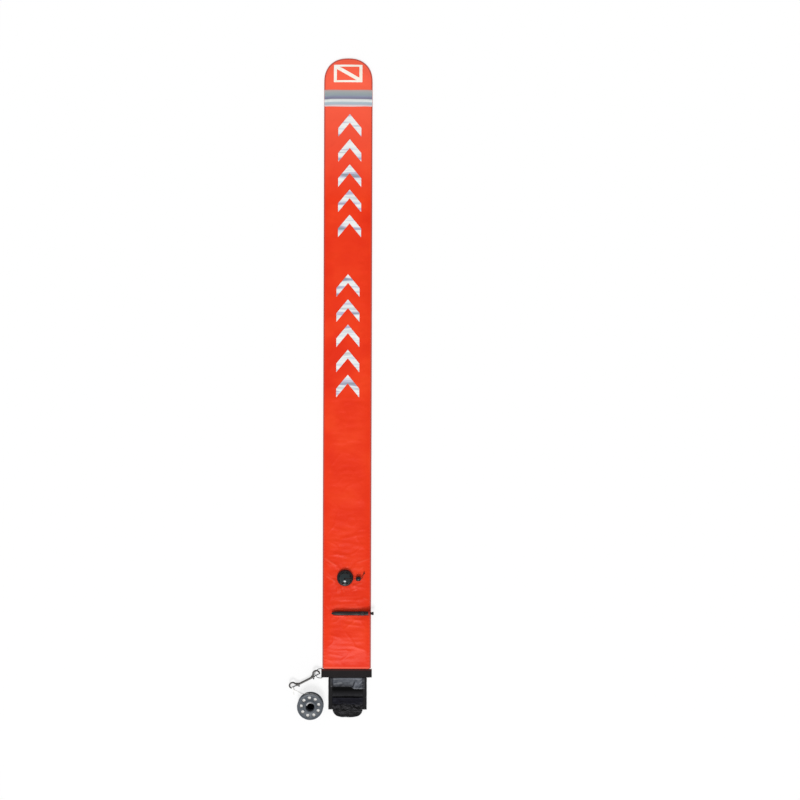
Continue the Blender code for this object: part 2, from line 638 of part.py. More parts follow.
def make_band():
    webbing = finish("black_webbing", (0.018, 0.016, 0.016), 0.85)
    half = BAND_HALF_WIDTH
    outer = band_outline(True)
    inner = band_outline(False)
    rings = [[Vector((x, -half, z)) for x, z in outer], [Vector((x, half, z)) for x, z in outer],
             [Vector((x, half, z)) for x, z in inner], [Vector((x, -half, z)) for x, z in inner]]
    loft("base_band", rings, webbing, closed=True)

    steel = finish("ring_steel", (0.5, 0.5, 0.5), 0.25, 1.0)
    hinge = joint_point("d_ring_hinge", Vector((RING_BAR.x, 0, RING_BAR.y)))
    corner = 2.0 * mm
    line = [(0.0, y * (RING_HALF - corner)) for y in (-1, -0.4, 0.4, 1)]
    for k in range(1, 4):
        turn = math.radians(30 * k)
        line.append((corner * (1 - math.cos(turn)), RING_HALF - corner + corner * math.sin(turn)))
    for k in range(17):
        turn = math.pi * k / 16
        line.append((RING_ARM + RING_REACH * math.sin(turn), RING_HALF * math.cos(turn)))
    for k in range(3, 0, -1):
        turn = math.radians(30 * k)
        line.append((corner * (1 - math.cos(turn)), -(RING_HALF - corner + corner * math.sin(turn))))
    path = [Vector((-p * math.cos(RING_TILT), y, p * math.sin(RING_TILT))) for p, y in line]
    normal = Vector((math.sin(RING_TILT), 0, math.cos(RING_TILT)))
    rod("d_ring", path, [RING_WIRE] * len(path), steel, sides=8, closed=True, upright=normal, holder=hinge,
        frame=Matrix.Translation(hinge.location))


def make_snap():
    steel = finish("snap_steel", STEEL, 0.3, 1.0)
    bolt_steel = finish("bolt_steel", (0.35, 0.35, 0.36), 0.25, 1.0)
    wire = finish("snap_wire", (0.5, 0.5, 0.5), 0.3, 1.0)
    swing = joint_point("snap_swing", SNAP_PIVOT)
    frame = (Matrix.Translation(SNAP_MIDDLE) @ Matrix.Rotation(SNAP_TURN, 4, "Z")
             @ Matrix.Rotation(SNAP_ROLL, 4, "X"))
    barrel_line = frame @ Matrix.Translation((0, BOLT_LINE, 0))
    along = Matrix.Rotation(math.radians(90), 4, "Y")
    quarter = Matrix.Rotation(math.radians(90), 4, "X")
    half = BARREL_HALF
    r = BARREL_RADIUS
    shank = [(0, -half), (r - 0.4 * mm, -half), (r, -half + 0.8 * mm), (r, half - 0.8 * mm),
             (r - 0.4 * mm, half), (0, half)]
    body = turned("snap_body", shank, steel, sides=18, frame=barrel_line @ along, holder=swing)
    flat = Vector((0, 0, 1))
    for name, sign in (("upper", 1), ("lower", -1)):
        foot = [(19.0 * mm, 1.0 * mm), (22.5 * mm, 1.75 * mm), (25.8 * mm, 2.55 * mm), (28.3 * mm, 3.6 * mm)]
        turns = [math.radians(172 - 14 * k) for k in range(16)]
        arc = [(EYE_MIDDLE.x + EYE_RADII.x * math.cos(t), EYE_MIDDLE.y + EYE_RADII.y * math.sin(t))
               for t in turns]
        path = [Vector((sign * u, v, 0)) for u, v in foot + arc]
        radii = [0.85 * mm, 1.5 * mm, 2.15 * mm] + [ARM_RADIUS] * (len(path) - 3)
        arm = rod(f"{name}_hook_arm", path, radii, steel, sides=10, upright=flat * sign, frame=frame,
                  holder=swing)
        combine(body, arm, "UNION")
    for name, sign in (("upper", 1), ("lower", -1)):
        turn = Matrix.Rotation(0.0 if sign > 0 else math.pi, 4, "Y")
        hole = ((0, 5 * mm), (BORE_RADIUS, 5 * mm), (BORE_RADIUS, half + 4 * mm), (0, half + 4 * mm))
        bore = turned(f"{name}_bore", hole, steel, sides=14, frame=barrel_line @ turn @ along, holder=swing)
        combine(body, bore, "DIFFERENCE")
        low = min(sign * 13.0 * mm, sign * 25.9 * mm)
        high = max(sign * 13.0 * mm, sign * 25.9 * mm)
        slot = block(f"{name}_slot", (low, -5 * mm, -1.25 * mm), (high, 0, 1.25 * mm), steel,
                     frame=barrel_line, holder=swing)
        combine(body, slot, "DIFFERENCE")
    for name, sign in (("upper", 1), ("lower", -1)):
        slide = joint_point(f"bolt_{name}_slide",
                            barrel_line @ Vector((sign * KNOB_AT, 0, 0)))
        turn = Matrix.Rotation(0.0 if sign > 0 else math.pi, 4, "Y")
        line = barrel_line @ turn @ along
        b = BOLT_RADIUS
        profile = ((0, 19 * mm), (b, 19 * mm), (b, BOLT_TIP - 0.6 * mm), (b - 0.6 * mm, BOLT_TIP),
                   (0, BOLT_TIP))
        turned(f"bolt_{name}", profile, bolt_steel, sides=14, frame=line, holder=slide)
        down = barrel_line @ Matrix.Translation((sign * KNOB_AT, 0, 0)) @ quarter
        knob = [(0, 2.05), (0.95, 2.05), (0.95, 4.8), (1.8, 5.2), (2.15, 7.0), (1.8, 8.7), (0, 9.1)]
        turned(f"knob_{name}", [(a * mm, h * mm) for a, h in knob], bolt_steel, sides=12, frame=down,
               holder=slide)
        spring(f"bolt_spring_{name}", 1.35 * mm, 0.5 * mm, 5, 12.4 * mm, wire,
               frame=line @ Matrix.Translation((0, 0, 5.9 * mm)), holder=swing)


def make_spool():
    grey = finish("grey_plastic", (0.15, 0.175, 0.20), 0.4)
    white = finish("white_line", (0.80, 0.79, 0.75), 0.8)
    spin = joint_point("spool_spin", Vector((SPOOL.x, SPOOL.y, 0)))
    frame = Matrix.Translation(spin.location)
    lip = 1.0 * mm
    w = SPOOL_WIDTH
    rim = SPOOL_RADIUS
    flat = [(SPOOL_BORE, 0), (rim - 0.8 * mm, 0), (rim, 0.8 * mm), (rim, FLANGE - 0.8 * mm),
            (rim - 0.8 * mm, FLANGE), (SPOOL_BORE, FLANGE)]
    bottom = turned("spool_flange_bottom", flat, grey, sides=40, frame=frame, holder=spin)
    face = w - lip
    under = face - FLANGE
    raised = [(SPOOL_BORE, under), (rim - 0.8 * mm, under), (rim, under + 0.8 * mm), (rim, face - 0.8 * mm),
              (rim - 0.6 * mm, face + 0.4 * mm), (rim - 2.6 * mm, face + 0.4 * mm), (rim - 3.2 * mm, face),
              (LIP_RADIUS + 0.8 * mm, face), (LIP_RADIUS, w), (SPOOL_BORE + 0.6 * mm, w),
              (SPOOL_BORE, w - 0.6 * mm)]
    top = turned("spool_flange_top", raised, grey, sides=40, frame=frame, holder=spin)
    for k in range(HOLES):
        turn = FIRST_HOLE + math.tau * k / HOLES
        at = frame @ Matrix.Translation((HOLE_CIRCLE * math.cos(turn), HOLE_CIRCLE * math.sin(turn), 0))
        for flange, low, high, name in ((bottom, -5 * mm, 10 * mm, "low"), (top, 20 * mm, 40 * mm, "high")):
            profile = ((0, low), (HOLE_RADIUS, low), (HOLE_RADIUS, high), (0, high))
            hole = turned(f"hole_{name}_{k + 1}", profile, grey, sides=12, frame=at, holder=spin)
            combine(flange, hole, "DIFFERENCE")

    inner_low = FLANGE + GAP
    inner_high = under - GAP
    tube = [(SPOOL_BORE, inner_low), (SPOOL_BORE + 3 * mm, inner_low), (SPOOL_BORE + 3 * mm, inner_high),
            (SPOOL_BORE, inner_high)]
    turned("spool_hub", tube, grey, sides=24, frame=frame, holder=spin)
    inside = SPOOL_BORE + 3 * mm + GAP
    outside = WOUND_RADIUS - LINE / 2 - GAP
    core = [(inside, inner_low + GAP), (outside, inner_low + GAP), (outside, inner_high - GAP),
            (inside, inner_high - GAP)]
    turned("line_core", core, white, sides=32, frame=frame, holder=spin)

    start = inner_high - LINE / 2 - GAP
    end = inner_low + LINE / 2 + GAP
    total = WOUND_TURNS * POINTS_A_TURN
    route = []
    for k in range(total + 1):
        turn = math.radians(90) + math.tau * (k - total) / POINTS_A_TURN
        height = start + (end - start) * k / total
        route.append(spin.location + Vector((WOUND_RADIUS * math.cos(turn), WOUND_RADIUS * math.sin(turn),
                                             height)))
    least = min((a - b).length for i, a in enumerate(route) for b in route[i + POINTS_A_TURN // 2:])
    print(f"outer layer of line: least gap between turns {(least - LINE) / mm:.2f} mm")
    cord("line_winding", route, LINE, white, resolution=1, holder=spin)
    return white


def last_wrap():
    """The free line's half turn round the winding, from the far side to where it leaves at the top."""
    steps = 16
    low, high = LAST_WRAP_HEIGHTS
    line = []
    for k in range(steps + 1):
        turn = math.radians(-90 + 180 * k / steps)
        line.append(Vector((SPOOL.x + LAST_WRAP_RADIUS * math.cos(turn),
                            SPOOL.y + LAST_WRAP_RADIUS * math.sin(turn), low + (high - low) * k / steps)))
    return line


def make_free_line(white):
    swing = bpy.data.objects["snap_swing"]
    frame = (Matrix.Translation(SNAP_MIDDLE) @ Matrix.Rotation(SNAP_TURN, 4, "Z"))
    bolt = frame @ Vector((-43.0 * mm, BOLT_LINE * math.cos(SNAP_ROLL), BOLT_LINE * math.sin(SNAP_ROLL)))
    back = -(frame.to_3x3() @ Vector((0, 1, 0)))
    up = Vector((0, 0, 1))
    knot_reach = 8.6 * mm
    knot = bolt + back * knot_reach
    knot.z = 2.6 * mm
    round_bolt = BOLT_RADIUS + 0.45 * mm + LINE / 2
    face = knot - back * 2.9 * mm
    loop = [face + up * 1.0 * mm, bolt + back * 3.4 * mm + up * (round_bolt - 1.2 * mm)]
    for k in range(5):
        turn = math.radians(60 + 60 * k)
        loop.append(bolt + round_bolt * (math.cos(turn) * back + math.sin(turn) * up))
    loop += [face - up * 1.0 * mm]
    cord("tie_loop", smooth_route(loop, 2.2 * mm), LINE, white, holder=swing)
    ball = [(0, -2.1), (1.9, -1.7), (2.5, 0), (1.9, 1.7), (0, 2.1)]
    aim = back.to_track_quat("Z", "Y").to_matrix().to_4x4()
    turned("line_knot", [(a * mm, h * mm) for a, h in ball], white, sides=12,
           frame=Matrix.Translation(knot) @ aim, holder=swing)

    floor = LINE / 2 + 0.05 * mm
    entry = knot + Vector((2.45 * mm, -0.9 * mm, -0.4 * mm))
    wrap = last_wrap()
    leaves = wrap[-1]
    route = [*wrap, leaves + Vector((-6 * mm, 0, 0)), leaves + Vector((-14 * mm, 0.1 * mm, -0.1 * mm)),
             Vector((-131 * mm, -61.4 * mm, 5.0 * mm)), Vector((-137 * mm, -59.6 * mm, 3.1 * mm)),
             Vector((-143 * mm, -57.2 * mm, floor + 0.4 * mm)), Vector((-148 * mm, -55.4 * mm, floor)),
             Vector((-152.4 * mm, -53.6 * mm, floor)), entry]
    cord("free_line", smooth_route(route, 4 * mm), LINE, white, holder=swing)
    leave = knot + Vector((0.4 * mm, -2.9 * mm, -0.9 * mm))
    tail = [leave, leave + Vector((-0.2 * mm, -3.6 * mm, -0.6 * mm)),
            Vector((leave.x - 1.4 * mm, leave.y - 9 * mm, floor)),
            Vector((leave.x - 0.6 * mm, leave.y - 15 * mm, floor))]
    cord("line_tail", smooth_route(tail, 3.4 * mm), LINE, white, holder=swing)


def pocket_half(y):
    """Half width of the mesh pocket, with round lower corners."""
    rise = max(0.0, POCKET_FOOT + POCKET_CORNER - y) / POCKET_CORNER
    return POCKET_HALF - POCKET_CORNER * (1 - math.sqrt(max(0.0, 1 - min(1.0, rise) ** 2)))


def make_pouch():
    black = finish("black_nylon_cloth", (0.014, 0.013, 0.014), 0.8)
    grey = finish("grey_coated_lining", (0.10, 0.112, 0.14), 0.45)
    pile = finish("black_loop_tape", (0.012, 0.012, 0.012), 0.95)
    net = finish("black_net", (0.025, 0.023, 0.028), 0.8)
    hinge = joint_point("pouch_hinge", Vector((0, POUCH_TOP, POUCH_FOLD)))
    x = POUCH_X
    half = POUCH_HALF
    base = POUCH_FLOOR
    top = base + POUCH_CLOTH

    block("pouch_panel", (x - half, POUCH_FOOT, base), (x + half, POUCH_TOP, top), black, holder=hinge)
    inner = half - BINDING - GAP
    layer = top + GAP
    block("pouch_lining", (x - inner, LINING_FOOT, layer), (x + inner, POUCH_TOP, layer + 0.5 * mm), grey,
          holder=hinge)
    block("closure_loop_tape", (x - inner, TAPE_FOOT, layer),
          (x + inner, LINING_FOOT - GAP, layer + 1.2 * mm), pile, holder=hinge)
    for name, sign in (("binding_left", -1), ("binding_right", 1)):
        edge = x + sign * (half - BINDING)
        rim = x + sign * (half + 1.1 * mm)
        wrap = x + sign * (half + GAP)
        outline = [(edge, layer), (edge, layer + 0.9 * mm), (rim, layer + 0.9 * mm), (rim, base),
                   (wrap, base), (wrap, layer)]
        extruded(name, outline, POUCH_FOOT - 0.8 * mm, POUCH_TOP, black, holder=hinge)

    hem = POUCH_FOOT - 0.8 * mm
    rows = [POCKET_MOUTH + (hem - POCKET_MOUTH) * k / 6 for k in range(7)]
    rows += [hem + (POCKET_FOOT - hem) * math.sin(math.radians(18 * k)) for k in range(1, 6)]
    ring_points = 20
    outer = []
    inside = []
    for y in rows:
        share = (y - POCKET_MOUTH) / (POCKET_FOOT - POCKET_MOUTH)
        low = (layer + GAP) * (1 - ease(hem, hem - 8 * mm, y))
        tall = POCKET_HEIGHT * (0.42 + 0.58 * ease(0, 0.3, share)) * (1 - 0.62 * ease(0.45, 1.0, share))
        for rings, thin, y_here in ((outer, 0.0, y), (inside, NET, max(y, POCKET_FOOT + NET))):
            wide = pocket_half(y_here) - thin
            ring = []
            for i in range(ring_points):
                turn = math.tau * i / ring_points
                reach = wide * math.copysign(abs(math.cos(turn)) ** 0.7, math.cos(turn))
                arch = max(0.0, math.sin(turn)) ** 0.8
                hang = min(0.0, math.sin(turn))
                z = low + thin + 1.2 * mm * (1 + hang) + (tall - 1.2 * mm - 2 * thin) * arch
                ring.append(Vector((POCKET_X + reach, y_here, z)))
            rings.append(ring)
    rings = outer + inside[::-1]
    steps = len(rows) - 1
    size = ring_points
    points = [p for ring in rings for p in ring]
    faces = []
    for row in range(len(rings)):
        after = (row + 1) % len(rings)
        if row == steps:
            continue
        for i in range(size):
            j = (i + 1) % size
            faces.append((row * size + i, after * size + i, after * size + j, row * size + j))
    faces.append(tuple(steps * size + i for i in range(size)))
    faces.append(tuple((steps + 1) * size + i for i in reversed(range(size))))
    piece("mesh_pocket", points, faces, net, holder=hinge)

    fold = joint_point("flap_hinge", Vector((0, POUCH_TOP, 0)))
    block("flap_panel", (x - half + 2 * mm, POUCH_FOOT + 4 * mm, 0),
          (x + half - 2 * mm, POUCH_TOP, 1.1 * mm), black, holder=fold)
    block("closure_hook_tape", (x - inner, POUCH_FOOT + 10 * mm, 1.4 * mm),
          (x + inner, POUCH_FOOT + 35 * mm, 2.2 * mm), pile, holder=fold)


make_bladder()
make_reflectors()
make_valve()
make_inflator()
make_band()
make_snap()
make_free_line(make_spool())
make_pouch()
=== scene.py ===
# %% [markdown]
# # A dive buoy laid out flat
# A dive buoy, or surface marker buoy, is a long bag of orange coated nylon that a diver fills with
# air under water, so that boats can see where divers will come up. This one lies empty on a pale
# table, with its pouch, its double-ended snap and its finger spool of line.
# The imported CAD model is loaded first. It says where every piece is and what moves, and this
# script dresses it: each soft, thin or round piece is made again with finer detail.

# %% Load the model
import json
import math

import bmesh
import bpy
from mathutils import Matrix, Vector, noise

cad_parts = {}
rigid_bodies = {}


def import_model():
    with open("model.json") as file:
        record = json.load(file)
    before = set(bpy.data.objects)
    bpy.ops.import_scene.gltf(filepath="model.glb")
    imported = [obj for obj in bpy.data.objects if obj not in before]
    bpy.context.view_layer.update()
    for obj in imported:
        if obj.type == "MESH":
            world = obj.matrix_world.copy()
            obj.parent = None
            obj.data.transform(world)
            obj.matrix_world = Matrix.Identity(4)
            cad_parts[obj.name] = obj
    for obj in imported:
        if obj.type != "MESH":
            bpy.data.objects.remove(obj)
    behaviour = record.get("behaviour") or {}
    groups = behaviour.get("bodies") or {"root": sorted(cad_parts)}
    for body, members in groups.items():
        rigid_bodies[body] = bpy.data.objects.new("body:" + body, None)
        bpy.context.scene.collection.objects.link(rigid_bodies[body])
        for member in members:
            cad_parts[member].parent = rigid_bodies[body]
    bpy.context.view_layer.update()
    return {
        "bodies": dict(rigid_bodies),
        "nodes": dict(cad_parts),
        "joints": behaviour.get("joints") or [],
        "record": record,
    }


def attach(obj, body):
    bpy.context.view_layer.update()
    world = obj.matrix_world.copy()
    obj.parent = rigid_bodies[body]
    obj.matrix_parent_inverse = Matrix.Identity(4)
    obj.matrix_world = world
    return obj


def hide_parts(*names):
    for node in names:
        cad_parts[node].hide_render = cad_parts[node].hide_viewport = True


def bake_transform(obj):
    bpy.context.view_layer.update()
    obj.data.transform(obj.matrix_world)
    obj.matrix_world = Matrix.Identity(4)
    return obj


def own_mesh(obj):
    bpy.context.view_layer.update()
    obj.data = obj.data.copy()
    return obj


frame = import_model()

# %% [markdown]
# ## The camera
# The photograph looks straight down from about 3.6 m, so 2.4 m of the table fits across the frame.
# The buoy lies left of the middle, and the camera is turned a fifth of a degree, as it is there.

# %% Camera
CAMERA_HEIGHT = 3.58
VIEW_WIDTH = 2.403
FRAME_MIDDLE = (0.1577, 0.8205)

camera_data = bpy.data.cameras.new("camera")
camera_data.sensor_width = 36.0
camera_data.lens = camera_data.sensor_width * CAMERA_HEIGHT / VIEW_WIDTH
camera = bpy.data.objects.new("camera", camera_data)
camera.location = (*FRAME_MIDDLE, CAMERA_HEIGHT)
camera.rotation_euler = (0, 0, math.radians(0.18))
bpy.context.collection.objects.link(camera)
bpy.context.scene.camera = camera
bpy.context.scene.view_settings.view_transform = "Standard"
print("lens:", round(camera_data.lens, 1), "mm")

# %% [markdown]
# ## Making meshes
# Every piece starts as lists of points and faces, in millimetres because that is how webbing, line
# and fittings are sold. One function turns the lists into an object. Its points go straight into
# the model's own frame, so no object is ever moved.

# %% Mesh helpers
MM = 0.001


def build(name, points, faces, *materials, angle=35):
    """An object from points in millimetres, smooth except where its faces meet at a sharp angle."""
    mesh = bpy.data.meshes.new(name)
    mesh.from_pydata([tuple(Vector(p) * MM) for p in points], [], faces)
    shell = bmesh.new()
    shell.from_mesh(mesh)
    bmesh.ops.recalc_face_normals(shell, faces=shell.faces)
    if shell.calc_volume(signed=True) < 0:
        bmesh.ops.reverse_faces(shell, faces=shell.faces)
    shell.to_mesh(mesh)
    shell.free()
    mesh.shade_smooth()
    mesh.set_sharp_from_angle(angle=math.radians(angle))
    for material in materials:
        mesh.materials.append(material)
    piece = bpy.data.objects.new(name, mesh)
    bpy.context.collection.objects.link(piece)
    return piece


def fit(piece, body, slot, *nodes):
    """Let a finished piece ride on a body and hide the CAD nodes that it stands for. The slot is not used.
    """
    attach(piece, body)
    if nodes:
        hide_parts(*nodes)
    return piece


def bake(piece, angle=35):
    """Replace a piece's mesh with what its modifiers make of it."""
    bpy.context.view_layer.update()
    made = piece.evaluated_get(bpy.context.evaluated_depsgraph_get())
    mesh = bpy.data.meshes.new_from_object(made)
    piece.modifiers.clear()
    piece.data = mesh
    mesh.shade_smooth()
    mesh.set_sharp_from_angle(angle=math.radians(angle))
    return piece


def combine(piece, tools, operation="DIFFERENCE"):
    """Cut tools out of a piece, or join them to it, and remove them."""
    for tool in tools:
        modifier = piece.modifiers.new("combine", "BOOLEAN")
        modifier.operation = operation
        modifier.object = tool
    bake(piece)
    for tool in tools:
        bpy.data.objects.remove(tool, do_unlink=True)
    return piece


# %% [markdown]
# Turned parts, such as the valve and the spool, come from half of their section spun round an axis.
# Wire, line and rod come from a circle carried along a path. The circle keeps its turn from one
# point to the next, so that it doesn't twist at a bend.

# %% Turned and swept shapes
def around(radius, turn, height=0.0):
    """A point at a turn, in radians, round the Z axis."""
    return Vector((radius * math.cos(turn), radius * math.sin(turn), height))


def turned(name, profile, *materials, sides=48, frame=Matrix.Identity(4), flutes=None, angle=35):
    """Spin a closed profile round the frame's Z. Flutes are their count, depth and least radius."""
    points = []
    rows = []
    for radius, height in profile:
        if radius == 0:
            rows.append([len(points)] * sides)
            points.append(frame @ Vector((0, 0, height)))
            continue
        rows.append(list(range(len(points), len(points) + sides)))
        for k in range(sides):
            turn = math.tau * k / sides
            reach = radius
            if flutes and radius >= flutes[2]:
                reach -= flutes[1] * (0.5 - 0.5 * math.cos(turn * flutes[0]))
            points.append(frame @ around(reach, turn, height))
    faces = []
    for row, upper in zip(rows, rows[1:] + rows[:1]):
        if row[0] == row[1] and upper[0] == upper[1]:
            continue
        for k in range(sides):
            j = (k + 1) % sides
            faces.append(tuple(dict.fromkeys((row[k], row[j], upper[j], upper[k]))))
    return build(name, points, faces, *materials, angle=angle)


def add_tube(points, faces, path, radius, sides=8, closed=False):
    """Add a tube along a path. The radius is a number, one a point, or a function of point and turn."""
    path = [Vector(p) for p in path]
    if isinstance(radius, (int, float)):
        radius = [radius] * len(path)
    count = len(path)
    first = len(points)
    side = None
    for i, middle in enumerate(path):
        before = path[i - 1] if closed or i > 0 else middle
        after = path[(i + 1) % count] if closed or i < count - 1 else middle
        along = (after - before).normalized()
        if side is None:
            side = along.orthogonal().normalized()
        side = (side - along * side.dot(along)).normalized()
        up = along.cross(side)
        for k in range(sides):
            turn = math.tau * k / sides
            reach = radius(i, turn) if callable(radius) else radius[i]
            points.append(middle + reach * (math.cos(turn) * side + math.sin(turn) * up))
    for i in range(count if closed else count - 1):
        low = first + i * sides
        high = first + (i + 1) % count * sides
        shift = 0
        if closed and i == count - 1:
            start = points[first]
            shift = min(range(sides), key=lambda k: (points[low + k] - start).length)
        for k in range(sides):
            j = (k + 1) % sides
            faces.append((low + (k + shift) % sides, low + (j + shift) % sides, high + j, high + k))
    if not closed:
        faces.append(tuple(first + k for k in reversed(range(sides))))
        faces.append(tuple(first + (count - 1) * sides + k for k in range(sides)))


def tube(name, path, radius, *materials, sides=12, closed=False, angle=60):
    """A piece that is one tube along a path."""
    points = []
    faces = []
    add_tube(points, faces, path, radius, sides, closed)
    return build(name, points, faces, *materials, angle=angle)


def smooth_route(route, step):
    """Points about a step apart on a smooth curve through the route's own points."""
    route = [Vector(p) for p in route]
    knots = [2 * route[0] - route[1], *route, 2 * route[-1] - route[-2]]
    line = []
    for a, b, c, d in zip(knots, knots[1:], knots[2:], knots[3:]):
        parts = max(1, round((c - b).length / step))
        for k in range(parts):
            t = k / parts
            line.append(0.5 * (2 * b + (c - a) * t + (2 * a - 5 * b + 4 * c - d) * t ** 2
                               + (3 * b - a - 3 * c + d) * t ** 3))
    line.append(route[-1])
    return line


def length_of(line):
    """The length of a line of points, in millimetres."""
    return sum((Vector(b) - Vector(a)).length for a, b in zip(line, line[1:]))


def coil(radius, turns, length, steps=20):
    """The middle line of a coil spring along Z."""
    total = round(turns * steps)
    return [around(radius, math.tau * k / steps, length * k / total) for k in range(total + 1)]


# %% [markdown]
# Holes, slots and windows are cut with the Boolean modifier, as a drill or a punch would cut them. A
# cutter is either round or a prism, and it is longer than the piece is thick, so that no skin is
# left at its ends.

# %% Cutters
def drill(radius, low, high, frame, sides=40):
    """A round cutter along the frame's Z."""
    return turned("hole", [(0, low), (radius, low), (radius, high), (0, high)], sides=sides, frame=frame)


def punch(outline, low, high, frame=Matrix.Identity(4)):
    """A cutter with straight walls over an outline of x and y, along the frame's Z."""
    points = [frame @ Vector((x, y, z)) for z in (low, high) for x, y in outline]
    count = len(outline)
    faces = [tuple(range(count)), tuple(range(count, 2 * count))]
    faces += [(j, (j + 1) % count, (j + 1) % count + count, j + count) for j in range(count)]
    return build("punch", points, faces)


# %% [markdown]
# ## Colours and nodes
# A colour is written as the hex value that a screen shows. Shaders work with linear light, so one
# function converts it. A second small function adds a node with its settings and its links. Each
# material begins with its plain values, and ends by taking its colour and its relief from patterns.

# %% Colour and node helpers
def colour(code):
    """A linear colour from an sRGB hex value."""
    channels = [int(code[i:i + 2], 16) / 255 for i in (0, 2, 4)]
    return (*[c / 12.92 if c <= 0.04045 else ((c + 0.055) / 1.055) ** 2.4 for c in channels], 1.0)


def add(tree, kind, inputs=None, stops=None, **settings):
    """Add a node. Inputs are values or the sockets that feed them, and stops are a ramp's colours."""
    made = tree.nodes.new("ShaderNode" + kind)
    for name, value in settings.items():
        setattr(made, name, value)
    for key, value in (inputs or {}).items():
        if isinstance(value, bpy.types.NodeSocket):
            tree.links.new(value, made.inputs[key])
        else:
            made.inputs[key].default_value = value
    if stops:
        places = made.color_ramp.elements
        places.remove(places[1])
        for position, code in stops:
            places.new(position).color = colour(code)
        places.remove(places[0])
    return made


def surface(name, code, roughness, metallic=0.0, **sockets):
    """A material with its shader's plain values set, and its tree, shader and place node."""
    material = bpy.data.materials.new(name)
    material.use_nodes = True
    tree = material.node_tree
    shader = tree.nodes["Principled BSDF"]
    shader.inputs["Base Color"].default_value = colour(code)
    shader.inputs["Roughness"].default_value = roughness
    shader.inputs["Metallic"].default_value = metallic
    for key, value in sockets.items():
        shader.inputs[key.replace("_", " ")].default_value = value
    material.diffuse_color = colour(code)
    place = add(tree, "TexCoord").outputs["Object"]
    return material, tree, shader, place


def finish(tree, shader, tone, relief, strength, depth, **under):
    """Give a shader a node's colour, and a socket's relief of a depth in millimetres."""
    tree.links.new(tone.outputs["Color"], shader.inputs["Base Color"])
    bump = add(tree, "Bump", {"Height": relief, "Strength": strength, "Distance": depth * MM, **under})
    tree.links.new(bump.outputs["Normal"], shader.inputs["Normal"])


def clouded(tree, shader, place, tones, often, detail, roughness):
    """Soft clouds that change a colour between two tones, and its roughness between two values."""
    cloud = add(tree, "TexNoise", {"Vector": place, "Scale": often, "Detail": detail}).outputs["Fac"]
    dull = add(tree, "MapRange", {"Value": cloud, "To Min": roughness[0], "To Max": roughness[1]})
    tree.links.new(dull.outputs["Result"], shader.inputs["Roughness"])
    return add(tree, "MixRGB", {"Fac": cloud, "Color1": colour(tones[0]), "Color2": colour(tones[1])})


def threads(spacing):
    """The scale at which a wave texture repeats once every spacing, in millimetres."""
    return math.tau / 20 / (spacing * MM)


def grains(size):
    """The scale at which a grain texture repeats about once every size, in millimetres."""
    return 1 / (size * MM)


# %% [markdown]
# ## Coated nylon
# The bladder is 210 denier nylon with a polyurethane coat, which makes it airtight. The coat gives
# a soft satin shine over a weave that only just shows. Its threads are 0.4 mm apart. They are drawn
# at 0.8 mm, which is the finest that still shows from close by. The weld along its edge is pressed
# flat by a hot bar, so it is a little darker, and the bar leaves a fine grid. Its darker colour is
# also painted shade on the edge, where the bag turns away from the light.

# %% Orange coated nylon
nylon, tree, shader, place = surface("coated_nylon_orange", "ED350C", 0.40, IOR=1.5,
                                     Specular_IOR_Level=0.2)
broad = add(tree, "TexNoise", {"Vector": place, "Scale": 9.0, "Detail": 3.0})
tone = add(tree, "ValToRGB", {"Fac": broad.outputs["Fac"]},
           stops=[(0.32, "E62C07"), (0.52, "ED350C"), (0.70, "F34015")])
# Toward the crown the nylon is painted paler: a painted highlight of the glare that falls there.
height = add(tree, "SeparateXYZ", {"Vector": place}).outputs["Y"]
painted_glare_toward_top = add(tree, "MapRange", {"Value": height, "From Min": 1.42, "From Max": 1.77, "To Max": 0.95})
tone = add(tree, "MixRGB", {"Fac": painted_glare_toward_top.outputs["Result"], "Color1": tone.outputs["Color"],
                            "Color2": colour("FC6449")})
# Three painted numbers tint the nylon: painted highlights along sharp creases and just above the base band,
# the weld's darker colour, which is partly painted shade on the bag's edge, and a dark red painted shade
# where the cloth goes into the base band.
for painted, code in (("crease", "FF7159"), ("seam", "B0453A"), ("band_groove_shade", "4E0F0A")):
    amount = add(tree, "Attribute", attribute_name=painted)
    tone = add(tree, "MixRGB", {"Fac": amount.outputs["Fac"], "Color1": tone.outputs["Color"],
                                "Color2": colour(code)})
warp = add(tree, "TexWave", {"Vector": place, "Scale": threads(0.8)}, bands_direction="X")
weft = add(tree, "TexWave", {"Vector": place, "Scale": threads(0.8)}, bands_direction="Y")
weave = add(tree, "Math", {0: warp.outputs["Fac"], 1: weft.outputs["Fac"]}, operation="MULTIPLY")
grid = add(tree, "TexChecker", {"Vector": place, "Scale": grains(1.5)})
seam = add(tree, "Attribute", attribute_name="seam")
weld_grid_and_pile_shade = add(tree, "Math", {0: grid.outputs["Fac"], 1: seam.outputs["Fac"]}, operation="MULTIPLY")
relief = add(tree, "Math", {0: weave.outputs["Value"], 1: weld_grid_and_pile_shade.outputs["Value"]}, operation="ADD")
crinkle = add(tree, "TexNoise", {"Vector": place, "Scale": 160.0, "Detail": 4.0})
rumple = add(tree, "Bump", {"Height": crinkle.outputs["Fac"], "Strength": 0.5, "Distance": 0.6 * MM})
finish(tree, shader, tone, relief.outputs["Value"], 0.35, 0.08, Normal=rumple.outputs["Normal"])
print("made", nylon.name)

# %% [markdown]
# ## Reflective film
# The band and the marks are plastic film over tiny glass beads, or over printed prisms, which send
# light back where it came from. By day it is a pale silver that breaks into streaks of grey, white
# and faint colour wherever it bends. Those streaks are painted reflections: bands of noise in its
# colour, stretched across the buoy. The beads are a tenth of a millimetre, and are drawn at 0.9 mm,
# which still shows from close by.

# %% Silver and cream films
BEADS = 0.9


